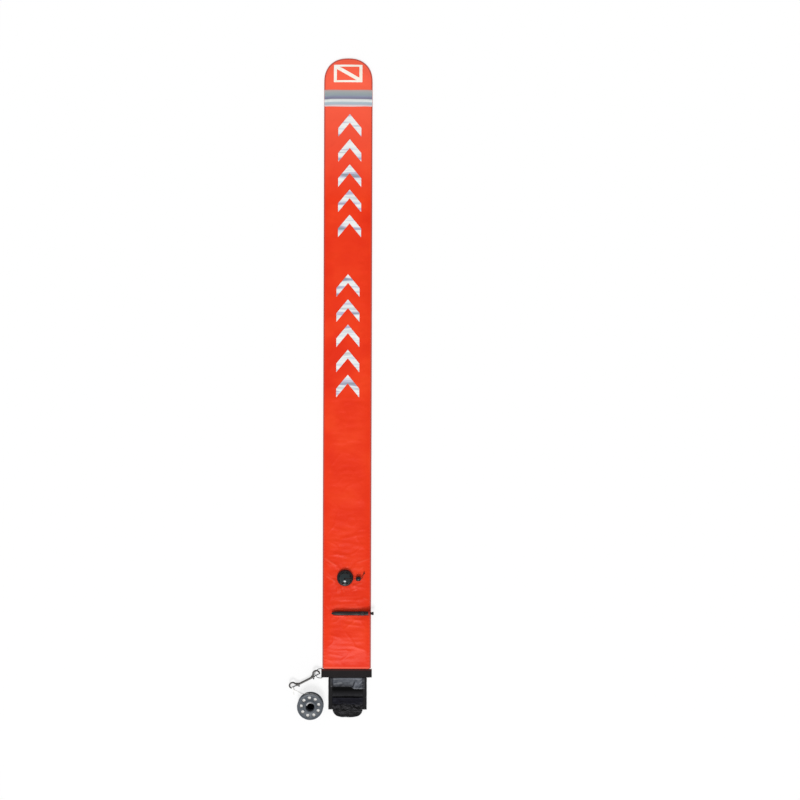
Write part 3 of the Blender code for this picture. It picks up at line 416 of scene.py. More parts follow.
def streaked_film(name, base, across, along, stops, roughness, metallic):
    """Film with painted reflections in streaks: across and along are how often they change in a metre."""
    film, tree, shader, place = surface(name, base, roughness, metallic)
    stretched = add(tree, "Mapping", {"Vector": place, "Scale": (across, along, 1.0)})
    streaks = add(tree, "TexNoise", {"Vector": stretched.outputs["Vector"], "Scale": 1.0, "Detail": 3.0,
                                     "Distortion": 0.4})
    tones = add(tree, "ValToRGB", {"Fac": streaks.outputs["Fac"]}, stops=stops)
    beads = add(tree, "TexVoronoi", {"Vector": place, "Scale": grains(BEADS)})
    finish(tree, shader, tones, beads.outputs["Distance"], 0.3, 0.05)
    return film


mark_film = streaked_film("prismatic_film_silver", "DDE5E7", 6.0, 58.0,
                          [(0.30, "8F9CA6"), (0.40, "C3BED6"), (0.47, "E6EDF0"), (0.56, "FBFBF8"),
                           (0.63, "D5DFE4"), (0.74, "BFA89F")], 0.32, 0.15)
flag_film = streaked_film("reflective_film_cream", "F3EEE2", 20.0, 30.0,
                          [(0.28, "D6CDBB"), (0.38, "FBF1DF"), (0.60, "FFFDF6"), (0.80, "FCEFD6")],
                          0.4, 0.02)

# %% [markdown]
# The band is one strip of tape, so its tones run straight across. They are set by the place along
# the buoy and are painted light and shade: steel grey, a dark crease of painted shade, and a bright
# line of painted highlight where it folds.

# %% Silver tape
BAND_LOW = 1700.5
BAND_HIGH = 1750.5
tape, tree, shader, place = surface("reflective_tape_silver", "98A3A9", 0.34, 0.25)
sway = add(tree, "TexNoise", {"Vector": place, "Scale": 14.0, "Detail": 2.0})
offset = add(tree, "MapRange", {"Value": sway.outputs["Fac"], "To Min": -0.0012, "To Max": 0.0012})
height = add(tree, "SeparateXYZ", {"Vector": place}).outputs["Y"]
moved = add(tree, "Math", {0: height, 1: offset.outputs["Result"]}, operation="ADD")
share = add(tree, "MapRange", {"Value": moved.outputs["Value"], "From Min": BAND_LOW * MM,
                               "From Max": BAND_HIGH * MM})
# Painted shade and painted highlight in bands along the tape.
tones = add(tree, "ValToRGB", {"Fac": share.outputs["Result"]},
            stops=[(0.02, "EDD9DA"), (0.07, "CDC6CF"), (0.12, "B0C2CE"), (0.24, "BCCBD3"), (0.29, "EFF2EF"),
                   (0.39, "E6ECEA"), (0.44, "827F95"), (0.54, "8A8DA8"), (0.66, "9AA7AD"), (0.84, "A9AFAF"),
                   (0.93, "BBACAA"), (0.99, "C79C95")])
beads = add(tree, "TexVoronoi", {"Vector": place, "Scale": grains(BEADS)})
finish(tree, shader, tones, beads.outputs["Distance"], 0.3, 0.05)
print("made", mark_film.name, flag_film.name, tape.name)

# %% [markdown]
# ## Moulded plastic
# The valve, inflator and spool are injection-moulded nylon and ABS. A mould gives a faint grain
# that scatters the highlight, and a shade that hardly varies. The valve's dome is smoother than the
# rest. Its deep blue-green cast is a painted reflection on dark plastic.

# %% Moulded plastics
def moulded(name, code, paler, roughness, grain, **sockets):
    """Moulded plastic with a fine grain in millimetres and a slight change of tone."""
    plastic, tree, shader, place = surface(name, code, roughness, IOR=1.49, **sockets)
    tone = clouded(tree, shader, place, (code, paler), 60.0, 4.0, (roughness - 0.06, roughness + 0.08))
    speckle = add(tree, "TexNoise", {"Vector": place, "Scale": grains(grain), "Detail": 2.0})
    finish(tree, shader, tone, speckle.outputs["Fac"], 0.25, 0.05)
    return plastic


valve_nylon = moulded("moulded_nylon_black", "0D0D0F", "1B1A1D", 0.34, 0.5, Specular_IOR_Level=0.35)
# The dome's blue-green tint is a painted reflection.
dome_plastic = moulded("polished_plastic_painted_teal_reflection", "0A1518", "14282C", 0.12, 2.0, Coat_Weight=0.2)
inflator_plastic = moulded("moulded_plastic_black", "171314", "282224", 0.42, 0.6, Specular_IOR_Level=0.35)
spool_plastic = moulded("moulded_abs_grey", "454B52", "535960", 0.42, 0.7, Specular_IOR_Level=0.4)
print("made", valve_nylon.name, dome_plastic.name, inflator_plastic.name, spool_plastic.name)

# %% [markdown]
# ## Rubber, steel and thread
# Seals are black silicone rubber, quite dull. The snap and the D-ring are stainless steel that was
# tumbled rather than polished, so the light spreads along faint scratches. A metal keeps the
# default IOR: its colour and roughness do the work.

# %% Rubber and metals
def steel(name, code, tone_shift, roughness, scratch):
    """Tumbled stainless steel: scratches a given number of millimetres apart."""
    metal, tree, shader, place = surface(name, code, roughness, 1.0)
    tone = clouded(tree, shader, place, (code, tone_shift), 120.0, 5.0, (roughness - 0.08, roughness + 0.12))
    drawn = add(tree, "TexNoise", {"Vector": place, "Scale": grains(scratch), "Detail": 6.0,
                                   "Distortion": 2.5})
    finish(tree, shader, tone, drawn.outputs["Fac"], 0.2, 0.04)
    return metal


snap_steel = steel("tumbled_steel_dark", "484645", "605E5C", 0.36, 0.8)
bolt_steel = steel("turned_steel", "3A3B3C", "505152", 0.30, 0.6)
ring_steel = steel("drawn_steel_ring", "6B6C6D", "858685", 0.26, 0.5)
spring_steel = steel("spring_wire", "9A9A98", "B7B6B2", 0.3, 0.4)
rubber = moulded("silicone_rubber_black", "141415", "1C1C1D", 0.62, 0.4, Specular_IOR_Level=0.3)
print("made", snap_steel.name, bolt_steel.name, ring_steel.name, spring_steel.name, rubber.name)

# %% [markdown]
# ## Webbing and pouch cloth
# Webbing is woven thick, with ribs that run across the band 1.2 mm apart and twill lines along it.
# The pouch is 600 denier polyester, whose coarse threads show as a grid of small dots 0.6 mm apart.
# Both are dyed black, which never is quite black: dust and worn fibre leave it a warm dark grey.

# %% Black weaves
def woven(name, code, tone_shift, warp_mm, weft_mm, roughness, depth, **sockets):
    """Woven cloth with threads of two spacings, and fibres that are paler where they stand up."""
    cloth, tree, shader, place = surface(name, code, roughness, **sockets)
    warp = add(tree, "TexWave", {"Vector": place, "Scale": threads(warp_mm)}, bands_direction="X")
    weft = add(tree, "TexWave", {"Vector": place, "Scale": threads(weft_mm)}, bands_direction="Y")
    weave = add(tree, "Math", {0: warp.outputs["Fac"], 1: weft.outputs["Fac"]}, operation="MULTIPLY")
    dust = add(tree, "TexNoise", {"Vector": place, "Scale": 70.0, "Detail": 5.0})
    patchy = add(tree, "Math", {0: weave.outputs["Value"], 1: dust.outputs["Fac"]}, operation="MULTIPLY")
    tone = add(tree, "MixRGB", {"Fac": patchy.outputs["Value"], "Color1": colour(code),
                                "Color2": colour(tone_shift)})
    finish(tree, shader, tone, weave.outputs["Value"], 0.6, depth)
    return cloth


def paint_red_shade(cloth, low, high, code):
    """Paint dark red shade on cloth by the bag's edge, between two places along Y, in millimetres."""
    tree = cloth.node_tree
    base_colour_socket = tree.nodes["Principled BSDF"].inputs["Base Color"]
    along = tree.nodes["Texture Coordinate"].outputs["Object"]
    height = add(tree, "SeparateXYZ", {"Vector": along}).outputs["Y"]
    near = add(tree, "MapRange", {"Value": height, "From Min": low * MM, "From Max": high * MM})
    mixed = add(tree, "MixRGB", {"Fac": near.outputs["Result"], "Color1": base_colour_socket.links[0].from_socket,
                                 "Color2": colour(code)})
    tree.links.new(mixed.outputs["Color"], base_colour_socket)


DULL = 0.2
webbing = woven("woven_webbing_black", "151213", "3A3335", 1.2, 2.4, 0.8, 0.25, Specular_IOR_Level=DULL,
                Sheen_Weight=0.03)
# The webbing's edge beside the bag gets a dark red painted shade, where the orange cloth goes into it.
paint_red_shade(webbing, 6.5, 11.5, "4E1812")
pouch_cloth = woven("woven_polyester_black", "131214", "302E32", 0.9, 0.9, 0.75, 0.15,
                    Specular_IOR_Level=DULL, Sheen_Weight=0.03)
binding_cloth = woven("woven_binding_black", "0F0E10", "2A282C", 0.8, 1.6, 0.72, 0.12,
                      Specular_IOR_Level=DULL, Sheen_Weight=0.04)
thread = woven("sewing_thread_black", "1F1C1E", "474346", 0.5, 0.5, 0.55, 0.05, Specular_IOR_Level=DULL)
hem_cloth = woven("plain_woven_hem_navy", "10101A", "292A36", 0.8, 0.8, 0.7, 0.1, Specular_IOR_Level=DULL)
orange_webbing = woven("woven_webbing_orange", "A82418", "CC3A26", 1.0, 1.6, 0.7, 0.15,
                       Specular_IOR_Level=DULL)
print("made", webbing.name, pouch_cloth.name, binding_cloth.name, thread.name, orange_webbing.name)

# %% [markdown]
# The pocket's net is knitted polyester yarn. Where crumpled net stands up it catches the light, so
# its tone changes in slanting streaks of painted highlight. The net that has folded in under it has
# a darker copy of the net's colour, which is painted shade.

# %% Crumpled net
def crumpled(name, code, tone_shift, roughness):
    """Net yarn that is paler in slanting streaks, where crumpled net stands up to the light."""
    net_material, tree, shader, place = surface(name, code, roughness, Specular_IOR_Level=DULL)
    slanted = add(tree, "Mapping", {"Vector": place, "Rotation": (0.0, 0.0, 0.75),
                                    "Scale": (62.0, 190.0, 60.0)})
    streaks = add(tree, "TexNoise", {"Vector": slanted.outputs["Vector"], "Scale": 1.0, "Detail": 3.0})
    tone = add(tree, "ValToRGB", {"Fac": streaks.outputs["Fac"]}, stops=[(0.44, code), (0.64, tone_shift)])
    tree.links.new(tone.outputs["Color"], shader.inputs["Base Color"])
    return net_material


folded_net_in_painted_shade = crumpled("folded_net_black", "0A090B", "2A292D", 0.7)
net_yarn = crumpled("knitted_net_black", "100F12", "464549", 0.6)
print("made", folded_net_in_painted_shade.name, net_yarn.name)

# %% [markdown]
# The lining under the pouch's mouth is grey nylon with a shiny coat, so it takes long soft
# highlights along its creases, and painted highlights and painted shade follow its folds. The
# closure is hook-and-loop tape: a pile of tiny loops that lets almost no light out, painted darker
# toward its top as painted shade. The line and the pull cord are braided, and braid shows as
# slanting plaits.

# %% Lining, pile and braid
lining_nylon, tree, shader, place = surface("coated_nylon_grey", "454950", 0.42, IOR=1.5,
                                            Specular_IOR_Level=0.35)
# The fold attribute carries painted shade and painted highlights along the lining's folds.
tone_shift = add(tree, "Attribute", attribute_name="fold")
cloud = add(tree, "TexNoise", {"Vector": place, "Scale": 40.0, "Detail": 3.0})
soft = add(tree, "MapRange", {"Value": cloud.outputs["Fac"], "To Min": -0.10, "To Max": 0.10})
level = add(tree, "Math", {0: tone_shift.outputs["Fac"], 1: soft.outputs["Result"]}, operation="ADD")
tone = add(tree, "ValToRGB", {"Fac": level.outputs["Value"]},
           stops=[(0.0, "121317"), (0.28, "2C2F38"), (0.5, "474B52"), (0.75, "656972"), (1.0, "8B8E96")])
fine = add(tree, "TexNoise", {"Vector": place, "Scale": 240.0, "Detail": 3.0})
finish(tree, shader, tone, fine.outputs["Fac"], 0.25, 0.1)

loop_pile, tree, shader, place = surface("loop_pile_black", "0C0C0D", 0.95, Specular_IOR_Level=0.15,
                                         Sheen_Weight=0.03)
tufts = add(tree, "TexVoronoi", {"Vector": place, "Scale": grains(0.7)})
tone = add(tree, "ValToRGB", {"Fac": tufts.outputs["Distance"]}, stops=[(0.1, "3C3C3F"), (0.7, "1D1D1F")])
# Toward its top the loop tape is painted almost black: painted shade where it turns away from the light.
along = add(tree, "SeparateXYZ", {"Vector": place}).outputs["Y"]
weld_grid_and_pile_shade = add(tree, "MapRange", {"Value": along, "From Min": -0.065, "From Max": -0.050})
pile_with_painted_shade = add(tree, "MixRGB", {"Fac": weld_grid_and_pile_shade.outputs["Result"], "Color1": tone.outputs["Color"],
                               "Color2": colour("030304")})
finish(tree, shader, pile_with_painted_shade, tufts.outputs["Distance"], 0.8, 0.3)


def braided(name, code, shade, plait, roughness):
    """Braided cord with plaits a given number of millimetres long, drawn by crossed slanting waves."""
    cord, tree, shader, place = surface(name, code, roughness)
    slanted = []
    for lean in (0.7, -0.7):
        turned_place = add(tree, "Mapping", {"Vector": place, "Rotation": (0.4, lean, lean)})
        slanted.append(add(tree, "TexWave", {"Vector": turned_place.outputs["Vector"],
                                             "Scale": threads(plait)}).outputs["Fac"])
    plaits = add(tree, "Math", {0: slanted[0], 1: slanted[1]}, operation="MAXIMUM")
    tone = add(tree, "MixRGB", {"Fac": plaits.outputs["Value"], "Color1": colour(shade),
                                "Color2": colour(code)})
    finish(tree, shader, tone, plaits.outputs["Value"], 0.6, 0.12)
    return cord


white_line = braided("braided_polyester_white", "F6F5F2", "DAD8D2", 1.4, 0.75)
black_cord = braided("braided_cord_black", "341A17", "1A0C0B", 1.2, 0.7)
print("made", len([m for m in bpy.data.materials if m.users == 0]), "materials for new pieces")

# %% [markdown]
# ## The bladder's form
# Two long panels are welded round their edge. A little air lifts the front panel a few millimetres
# into a low pillow, and the back lies on the table. These functions give the smooth form in
# millimetres: how high the seam stands, how far a place is from the middle, and both faces.

# %% Rises, bumps and ripples
def ease(start, end, value):
    """Rise smoothly from 0 to 1 between start and end."""
    t = min(1.0, max(0.0, (value - start) / (end - start)))
    return t * t * (3 - 2 * t)


def bump_at(distance, width):
    """1 at no distance, falling smoothly to nothing about two widths away."""
    return math.exp(-(distance / width) ** 2)


def ripple(x, y, across, along, seed):
    """Soft noise from -1 to 1, where across and along are how often it changes in a millimetre."""
    return noise.noise(Vector((x * across, y * along, seed)))


# %% Smooth form of the bladder
HALF_WIDTH = 72.5
SEAM = 6.0
TOP = 1844.5
CROWN = 72.0
CROWN_POWER = 2.3
FABRIC = 0.8
AIR = 6.0
SHEETS_APART = 1.1


def seam_height(y):
    """Underside of the front panel along the weld: low in the base band, a little higher beyond."""
    return 2.75 + 1.65 * ease(12.5, 100, y)


def middle_distance(x, y):
    """0 on the middle line and 1 at the weld."""
    across = abs(x) / (HALF_WIDTH - SEAM)
    up = max(0.0, y - TOP + CROWN) / (CROWN - SEAM)
    return (across ** CROWN_POWER + up ** CROWN_POWER) ** (1 / CROWN_POWER)


def smooth_front(x, y):
    """Top of the front panel before any creases."""
    lift = max(0.0, 1 - middle_distance(x, y) ** 4.5) * ease(20, 110, y)
    return seam_height(y) + FABRIC + AIR * lift


def smooth_back(x, y):
    """Underside of the back panel."""
    rest = max(0.0, 1 - middle_distance(x, y) ** 6) * ease(14, 60, y)
    return (seam_height(y) - SHEETS_APART) * (1 - rest)


# %% [markdown]
# ## Line and pull cord
# Both cords are plaited, with a braid of eight strands round a core. A round tube would look like
# wire, so each ring of the tube swells where two strands cross. The line leaves the spool, crosses
# the table and is tied to the snap's lower bolt with an overhand knot. The pull cord comes out of
# the dump valve's dome, passes through a bead and ends in a knot.

# %% Plaited cords
LINE = 1.7
PULL_CORD = 1.6


def plaited(name, line, diameter, material, step, strands=8, sides=16, closed=False):
    """A plaited cord along a line of points that are a step apart."""
    radius = diameter / 2

    def swell(i, turn):
        lay = 0.9 * i * step / radius
        wave = strands / 2 * turn
        crossing = max(abs(math.sin(wave + lay)), abs(math.sin(wave - lay)))
        return radius * (0.9 + 0.16 * crossing)

    points = []
    faces = []
    add_tube(points, faces, line, swell, sides, closed)
    return build(name, points, faces, material, angle=80)


def overhand(name, middle, along, size, diameter, material):
    """A tight knot: a cord that winds three times through itself round a point."""
    turn = Vector(along).to_track_quat("Z", "Y").to_matrix()
    line = []
    for k in range(60):
        t = math.tau * k / 60
        loop = Vector((math.sin(t) + 2 * math.sin(2 * t), math.cos(t) - 2 * math.cos(2 * t),
                       -1.2 * math.sin(3 * t)))
        line.append(Vector(middle) + turn @ loop * size)
    return plaited(name, line, diameter, material, 0.5, sides=12, closed=True)


# %% Free line from the spool to the snap
SNAP_MIDDLE = Vector((-124.3, -20.9, 6.6))
SNAP_ROLL = math.radians(28)
BOLT_LINE = -2.0
BOLT_RADIUS = 1.75
SPOOL = Vector((-107.5, -95.3, 0.0))
LAST_WRAP = 33.6
snap_flat = Matrix.Translation(SNAP_MIDDLE) @ Matrix.Rotation(math.radians(27), 4, "Z")
snap_frame = snap_flat @ Matrix.Rotation(SNAP_ROLL, 4, "X")

table = LINE / 2 + 0.05
bolt = snap_flat @ Vector((-43.0, BOLT_LINE * math.cos(SNAP_ROLL), BOLT_LINE * math.sin(SNAP_ROLL)))
back = -(snap_flat.to_3x3() @ Vector((0, 1, 0)))
up = Vector((0, 0, 1))
knot = bolt + back * 8.6
knot.z = 2.6
wrap = [SPOOL + around(LAST_WRAP, math.radians(-90 + 180 * k / 16), 6.4 - 1.2 * k / 16) for k in range(17)]
leaves = wrap[-1]
line_route = [*wrap, leaves + Vector((-6, 0, 0)), leaves + Vector((-14, 0.1, -0.1)), (-131, -61.4, 5.0),
              (-137, -59.6, 3.1), (-143, -57.2, table + 0.4), (-148, -55.4, table), (-152.4, -53.6, table),
              knot + Vector((1.6, -0.6, -0.3))]
line_path = smooth_route(line_route, 0.6)
free_line = plaited("free_line_cord", line_path, LINE, white_line, 0.6)
fit(free_line, "snap", "white_line", "free_line")

# The loop goes from the knot's face over the bolt, round it with a small gap, and back.
round_bolt = BOLT_RADIUS + 0.45 + LINE / 2
face = knot - back * 1.7
loop = [face + up, bolt + back * 3.4 + up * (round_bolt - 1.2)]
for k in range(5):
    turn = math.radians(60 + 60 * k)
    loop.append(bolt + round_bolt * (math.cos(turn) * back + math.sin(turn) * up))
loop.append(face - up)
tie_loop = plaited("tie_loop_cord", smooth_route(loop, 0.5), LINE, white_line, 0.5)
fit(tie_loop, "snap", "white_line", "tie_loop")
line_knot = overhand("line_overhand_knot", knot, back, 0.62, LINE, white_line)
fit(line_knot, "snap", "white_line", "line_knot")
leave = knot + Vector((0.3, -1.8, -0.6))
tail_route = [leave, leave + Vector((-0.2, -3.6, -0.6)), (leave.x - 1.4, leave.y - 9, table),
              (leave.x - 0.6, leave.y - 15, table)]
line_tail = plaited("line_tail_cord", smooth_route(tail_route, 0.5), LINE, white_line, 0.5)
fit(line_tail, "snap", "white_line", "line_tail")

length_of(line_path) * MM
print("free line:", round(length_of(line_path)), "mm")

# %% Pull cord of the dump valve
VALVE = Vector((-5.0, 287.5))
SEAT = smooth_front(*VALVE) + 0.3
BEAD = Vector((35.0, VALVE.y - 1.8, smooth_front(35.0, VALVE.y) + 7.4))
over_cap = [(0, 0, 13.7), (0, 0, 17.4), (1.5, 0, 19.2), (5.0, -0.2, 19.1), (9.5, -0.5, 17.7),
            (15.6, -0.9, 14.9), (21.2, -1.3, 13.0), (25.6, -1.6, 9.4)]
past_bead = [(-11.6, 0, 0.9), (-7.8, 0, 0), (0, 0, 0), (8.0, 0.1, -0.4), (12.4, 5.4, -3.4),
             (15.2, 12.4, -5.0), (16.8, 15.6, -5.2)]
pull_route = [(VALVE.x + x, VALVE.y + y, SEAT + z) for x, y, z in over_cap]
pull_route += [BEAD + Vector(step) for step in past_bead]
pull_path = smooth_route(pull_route, 0.6)
pull_cord = plaited("pull_cord_braid", pull_path, PULL_CORD, black_cord, 0.6)
fit(pull_cord, "dump_poppet", "black_cord", "pull_cord", "pull_cord_tail")

bead_half = [(0.9, 7.1), (1.6, 7.4), (3.8, 7.4), (4.8, 7.1), (5.9, 6.0), (6.6, 4.4), (6.9, 2.8), (6.6, 2.4),
             (6.6, 1.9), (7.0, 1.4)]
bead_profile = [(r, -h) for r, h in bead_half] + bead_half[::-1]
bead_frame = Matrix.Translation(BEAD) @ Matrix.Rotation(math.radians(90), 4, "Y")
pull_bead = turned("pull_bead_moulded", bead_profile, valve_nylon, sides=40, frame=bead_frame)
fit(pull_bead, "dump_poppet", "valve_black", "pull_bead")
pull_end = BEAD + Vector((17.2, 16.3, -5.2))
pull_knot = overhand("pull_cord_overhand", pull_end, pull_end - pull_path[-6], 0.72, PULL_CORD, black_cord)
fit(pull_knot, "dump_poppet", "black_cord", "pull_cord_knot")
length_of(pull_path) * MM
print("pull cord:", round(length_of(pull_path)), "mm")

# %% [markdown]
# Coated nylon that was rolled up keeps creases: soft waves across the bag, sharp lines where it was
# folded, small puckers along the weld and a fan of wrinkles round the stiff valve. Each is a small
# height added to the smooth form, so the light catches real folds. Near the fittings the cloth is
# held flat. A sharp fold is written as its two ends, its width and its height, in millimetres.

# %% Creases
INFLATOR_Y = 182.5
INLET_X = -22.0
INLET_HOLE = 5.4
FOLDS_END = 700
FOLDS = [((-68, 345), (-30, 323), 2.6, 1.5), ((-64, 331), (-46, 322), 1.8, 0.8),
         ((-64, 293), (-30, 275), 2.4, 1.6), ((-60, 302), (-44, 288), 1.8, 0.9),
         ((16, 262), (48, 272), 2.6, 1.0), ((-27, 258), (-26, 243), 1.6, 0.9),
         ((-20, 256), (-18, 244), 1.6, 0.9), ((-11, 254), (-8, 244), 1.8, 0.8),
         ((13, 247), (32, 254), 1.8, 0.9), ((42, 315), (50, 321), 1.6, 0.8),
         ((28, 333), (68, 343), 2.2, 1.0), ((-42, 360), (14, 348), 4.0, 0.9),
         ((-40, 231), (44, 233), 3.0, 0.6), ((-30, 221), (60, 220), 3.4, 0.7),
         ((-44, 209), (36, 211), 3.0, 0.6), ((48, 228), (66, 219), 2.4, 0.9),
         ((-10, 201), (56, 202), 2.6, 0.5), ((-6, 163), (66, 160), 3.2, 0.9),
         ((-14, 150), (60, 141), 3.4, 0.8), ((-64, 204), (-50, 190), 2.4, 0.8),
         ((-60, 120), (-12, 104), 3.6, 0.8), ((6, 84), (60, 72), 3.4, 0.8),
         ((-58, 60), (-8, 50), 3.4, 0.8), ((-24, 404), (40, 416), 4.0, 0.7),
         ((-60, 440), (0, 428), 3.4, 0.6), ((-60, 500), (10, 488), 4.0, 0.7),
         ((0, 600), (62, 615), 4.0, 0.7)]


def ridge(x, y, start, end, width):
    """1 along a line between two places, falling away to 0 over a width."""
    (ax, ay), (bx, by) = start, end
    dx, dy = bx - ax, by - ay
    t = min(1.0, max(0.0, ((x - ax) * dx + (y - ay) * dy) / (dx * dx + dy * dy)))
    away = math.hypot(x - ax - t * dx, y - ay - t * dy)
    return bump_at(away, width) * (1 - (2 * t - 1) ** 4)


def rolled_up(x, y):
    """Faint lines across the bag, one for each turn that it was rolled up in."""
    return 0.22 * (1 - abs(math.sin(math.pi * (y + 5 * math.sin(x * 0.03)) / 131.0))) ** 12


def valve_fan(x, y):
    """Wrinkles that spread round the valve, strongest 38 mm from its middle."""
    angle = math.atan2(y - VALVE.y, x - VALVE.x)
    fan = math.sin(9 * angle + 1.3) + 0.6 * math.sin(15 * angle + 0.4)
    return 0.5 * fan * bump_at(math.hypot(x - VALVE.x, y - VALVE.y) - 38, 13)


def creases(x, y):
    """How far the fabric leaves its smooth form, in millimetres."""
    inside = max(0.0, 1 - middle_distance(x, y) ** 6)
    waves = ripple(x, y, 0.011, 0.034, 1.7) + 0.65 * ripple(x, y, 0.028, 0.090, 5.1)
    sharp = 0.8 * max(0.0, 1 - 2 * abs(ripple(x, y, 0.018, 0.024, 9.3))) ** 9
    pucker = 0.22 * math.sin(y * 0.62 + 2 * ripple(x, y, 1, 0.03, 0))
    height = (waves + sharp + rolled_up(x, y)) * inside + pucker * bump_at(1 - middle_distance(x, y), 0.07)
    if y < FOLDS_END:
        height += inside * 0.85 * sum(h * ridge(x, y, a, b, w * 1.15) for a, b, w, h in FOLDS)
    return height + valve_fan(x, y) * inside


def painted_crease_highlight(x, y):
    """Painted highlight along a sharp crease, and a painted highlight line where it rolls into the band."""
    if y > FOLDS_END:
        return 0.0
    sharp = sum(h * ridge(x, y, a, b, w * 0.9) for a, b, w, h in FOLDS if w < 3)
    return min(0.4, 0.22 * sharp) * held_flat(x, y) + 0.8 * bump_at(y - 16.2, 1.9)


def held_flat(x, y):
    """0 under the fittings, where the cloth is flat, and 1 away from them."""
    valve = ease(26, 36, math.hypot(x - VALVE.x, y - VALVE.y))
    cord = ease(9, 15, math.hypot(max(0, abs(x - 30) - 24), y - VALVE.y - 4))
    inflator = ease(9, 16, math.hypot(max(0, abs(x - 13) - 62), y - INFLATOR_Y))
    marks = 0.35 + 0.65 * ease(30, 46, abs(x)) if y > 830 else 1.0
    return valve * cord * inflator * marks * ease(13, 40, y)


def front_top(x, y):
    """Top of the front panel as it lies."""
    return smooth_front(x, y) + creases(x, y) * held_flat(x, y)


print("front panel over the middle:", round(front_top(0, 900), 2), "mm up")

# %% [markdown]
# ## The two panels
# A grid of points covers each panel, finer than the creases. The panel is given its thickness by a
# second layer below the first, joined round the edge. Numbers written at each point say how close the
# weld is, whose darker colour is partly painted shade, where painted highlights lie along creases,
# and where painted shade falls as the cloth goes into the base band. The nylon's material reads them.

# %% Sheets with two faces
def grid_of(columns, rows, place):
    """The rows of a sheet's outer face, where place(u, v) is the point in column u of row v."""
    return [[place(u, v) for u in range(columns)] for v in range(rows)]


def two_faced(name, grid, thickness, *materials, closed=False, angle=50):
    """A closed thin piece from a grid of places on its outer face, thickened along its normals."""
    rows, wide = len(grid), len(grid[0])
    points = []
    for layer in (0, 1):
        for r in range(rows):
            for c in range(wide):
                here = Vector(grid[r][c])
                if layer:
                    left = grid[r][c - 1] if c > 0 or closed else grid[r][c]
                    right = grid[r][(c + 1) % wide] if c < wide - 1 or closed else grid[r][c]
                    down = grid[max(0, r - 1)][c]
                    up = grid[min(rows - 1, r + 1)][c]
                    normal = (Vector(right) - Vector(left)).cross(Vector(up) - Vector(down))
                    here = here - normal.normalized() * thickness
                points.append(here)
    size = rows * wide
    faces = []
    for r in range(rows - 1):
        for c in range(wide if closed else wide - 1):
            a, b = r * wide + c, r * wide + (c + 1) % wide
            faces.append((a, b, b + wide, a + wide))
            faces.append((size + a, size + a + wide, size + b + wide, size + b))
    first = list(range(wide))
    last = list(range(size - wide, size))
    if closed:
        edges = [first + first[:1], (last + last[:1])[::-1]]
    else:
        right = [r * wide + wide - 1 for r in range(rows)]
        left = [r * wide for r in range(rows)]
        edges = [first + right[1:] + last[::-1][1:] + left[::-1][1:]]
    for edge in edges:
        for a, b in zip(edge, edge[1:]):
            faces.append((a, size + a, size + b, b))
    return build(name, points, faces, *materials, angle=angle)


# %% Front and back panels
def panel_rows(fine_step, step):
    """Each row's place and half width, from the tucked end to the crown, finer round the fittings."""
    rows = [(-10.0, 66.0), (4.0, 66.0), (12.8, 66.0), (14.4, 70.5), (16.0, 72.5), (20.0, 72.5)]
    start = TOP - CROWN
    for low, high, apart in ((20, 440, fine_step), (440, start, step)):
        count = round((high - low) / apart)
        rows += [(low + (high - low) * k / count, HALF_WIDTH) for k in range(1, count + 1)]
    for k in range(1, 19):
        turn = math.radians(88.5) * k / 18
        rows.append((start + CROWN * math.sin(turn) ** (2 / CROWN_POWER),
                     HALF_WIDTH * math.cos(turn) ** (2 / CROWN_POWER)))
    return rows


def paint(piece, name, value):
    """Write value(x, y) at each point of a piece, under the name by which its material reads it."""
    painted = piece.data.attributes.new(name, "FLOAT", "POINT")
    for number, vertex in zip(painted.data, piece.data.vertices):
        number.value = value(vertex.co.x / MM, vertex.co.y / MM)


def weld(x, y):
    """1 on the pressed edge of a panel, whose darker colour is partly painted shade, and 0 inside it."""
    return ease(1.01, 1.065, middle_distance(x, y)) if y > 13 else 0.0


def painted_band_groove_shade(x, y):
    """Painted shade on a panel where it goes into the groove of the base band."""
    return 0.8 * (1 - ease(12.6, 14.6, y))


fine_columns = [-1 + k / 32 for k in range(65)]
front_grid = [[Vector((t * half, y, front_top(t * half, y))) for t in fine_columns]
              for y, half in panel_rows(2.4, 4.6)]
front_panel = two_faced("front_panel_cloth", front_grid, FABRIC, nylon)
valve_hole = drill(10.9, -20, 20, Matrix.Translation((VALVE.x, VALVE.y, 11)))
inlet_hole = drill(INLET_HOLE, -20, 20, Matrix.Translation((INLET_X, INFLATOR_Y, 11)))
combine(front_panel, [valve_hole, inlet_hole])
fit(front_panel, "buoy", "orange_nylon", "front_panel")

coarse_columns = [-1 + k / 12 for k in range(25)]
back_grid = [[Vector((-t * half, y, smooth_back(t * half, y) + max(0.0, 0.5 * creases(-t * half, y)
                                                                 * ease(40, 90, y))))
              for t in coarse_columns] for y, half in panel_rows(9.0, 9.0)]
back_panel = two_faced("back_panel_cloth", back_grid, FABRIC, nylon)
fit(back_panel, "buoy", "orange_nylon", "back_panel")

# A panel is a strip as far as its crown, whose rounded outline fills 86% of its own rectangle.
for piece in (front_panel, back_panel):
    paint(piece, "seam", weld)
    paint(piece, "crease", painted_crease_highlight)
    paint(piece, "band_groove_shade", painted_band_groove_shade)
print("panels:", len(front_panel.data.polygons), "and", len(back_panel.data.polygons), "faces")

# %% [markdown]
# ## Reflective band and marks
# The tape is welded right across the bag, and follows it over both seams. The ten marks below it
# are cut from the same kind of film. Plain chevrons stand here, in two rows of five, of the size
# and spacing that such marks have. Each lies on the nylon and follows every crease under it.

# %% Film on the fabric
FILM = 0.3
LIFT = 0.06


def on_front(x, y):
    """A place on the outer face of film that lies on the front panel."""
    return Vector((x, y, front_top(x, y) + LIFT + FILM))


BAND_SAG = 2.0
BAND_HALF = 71.6


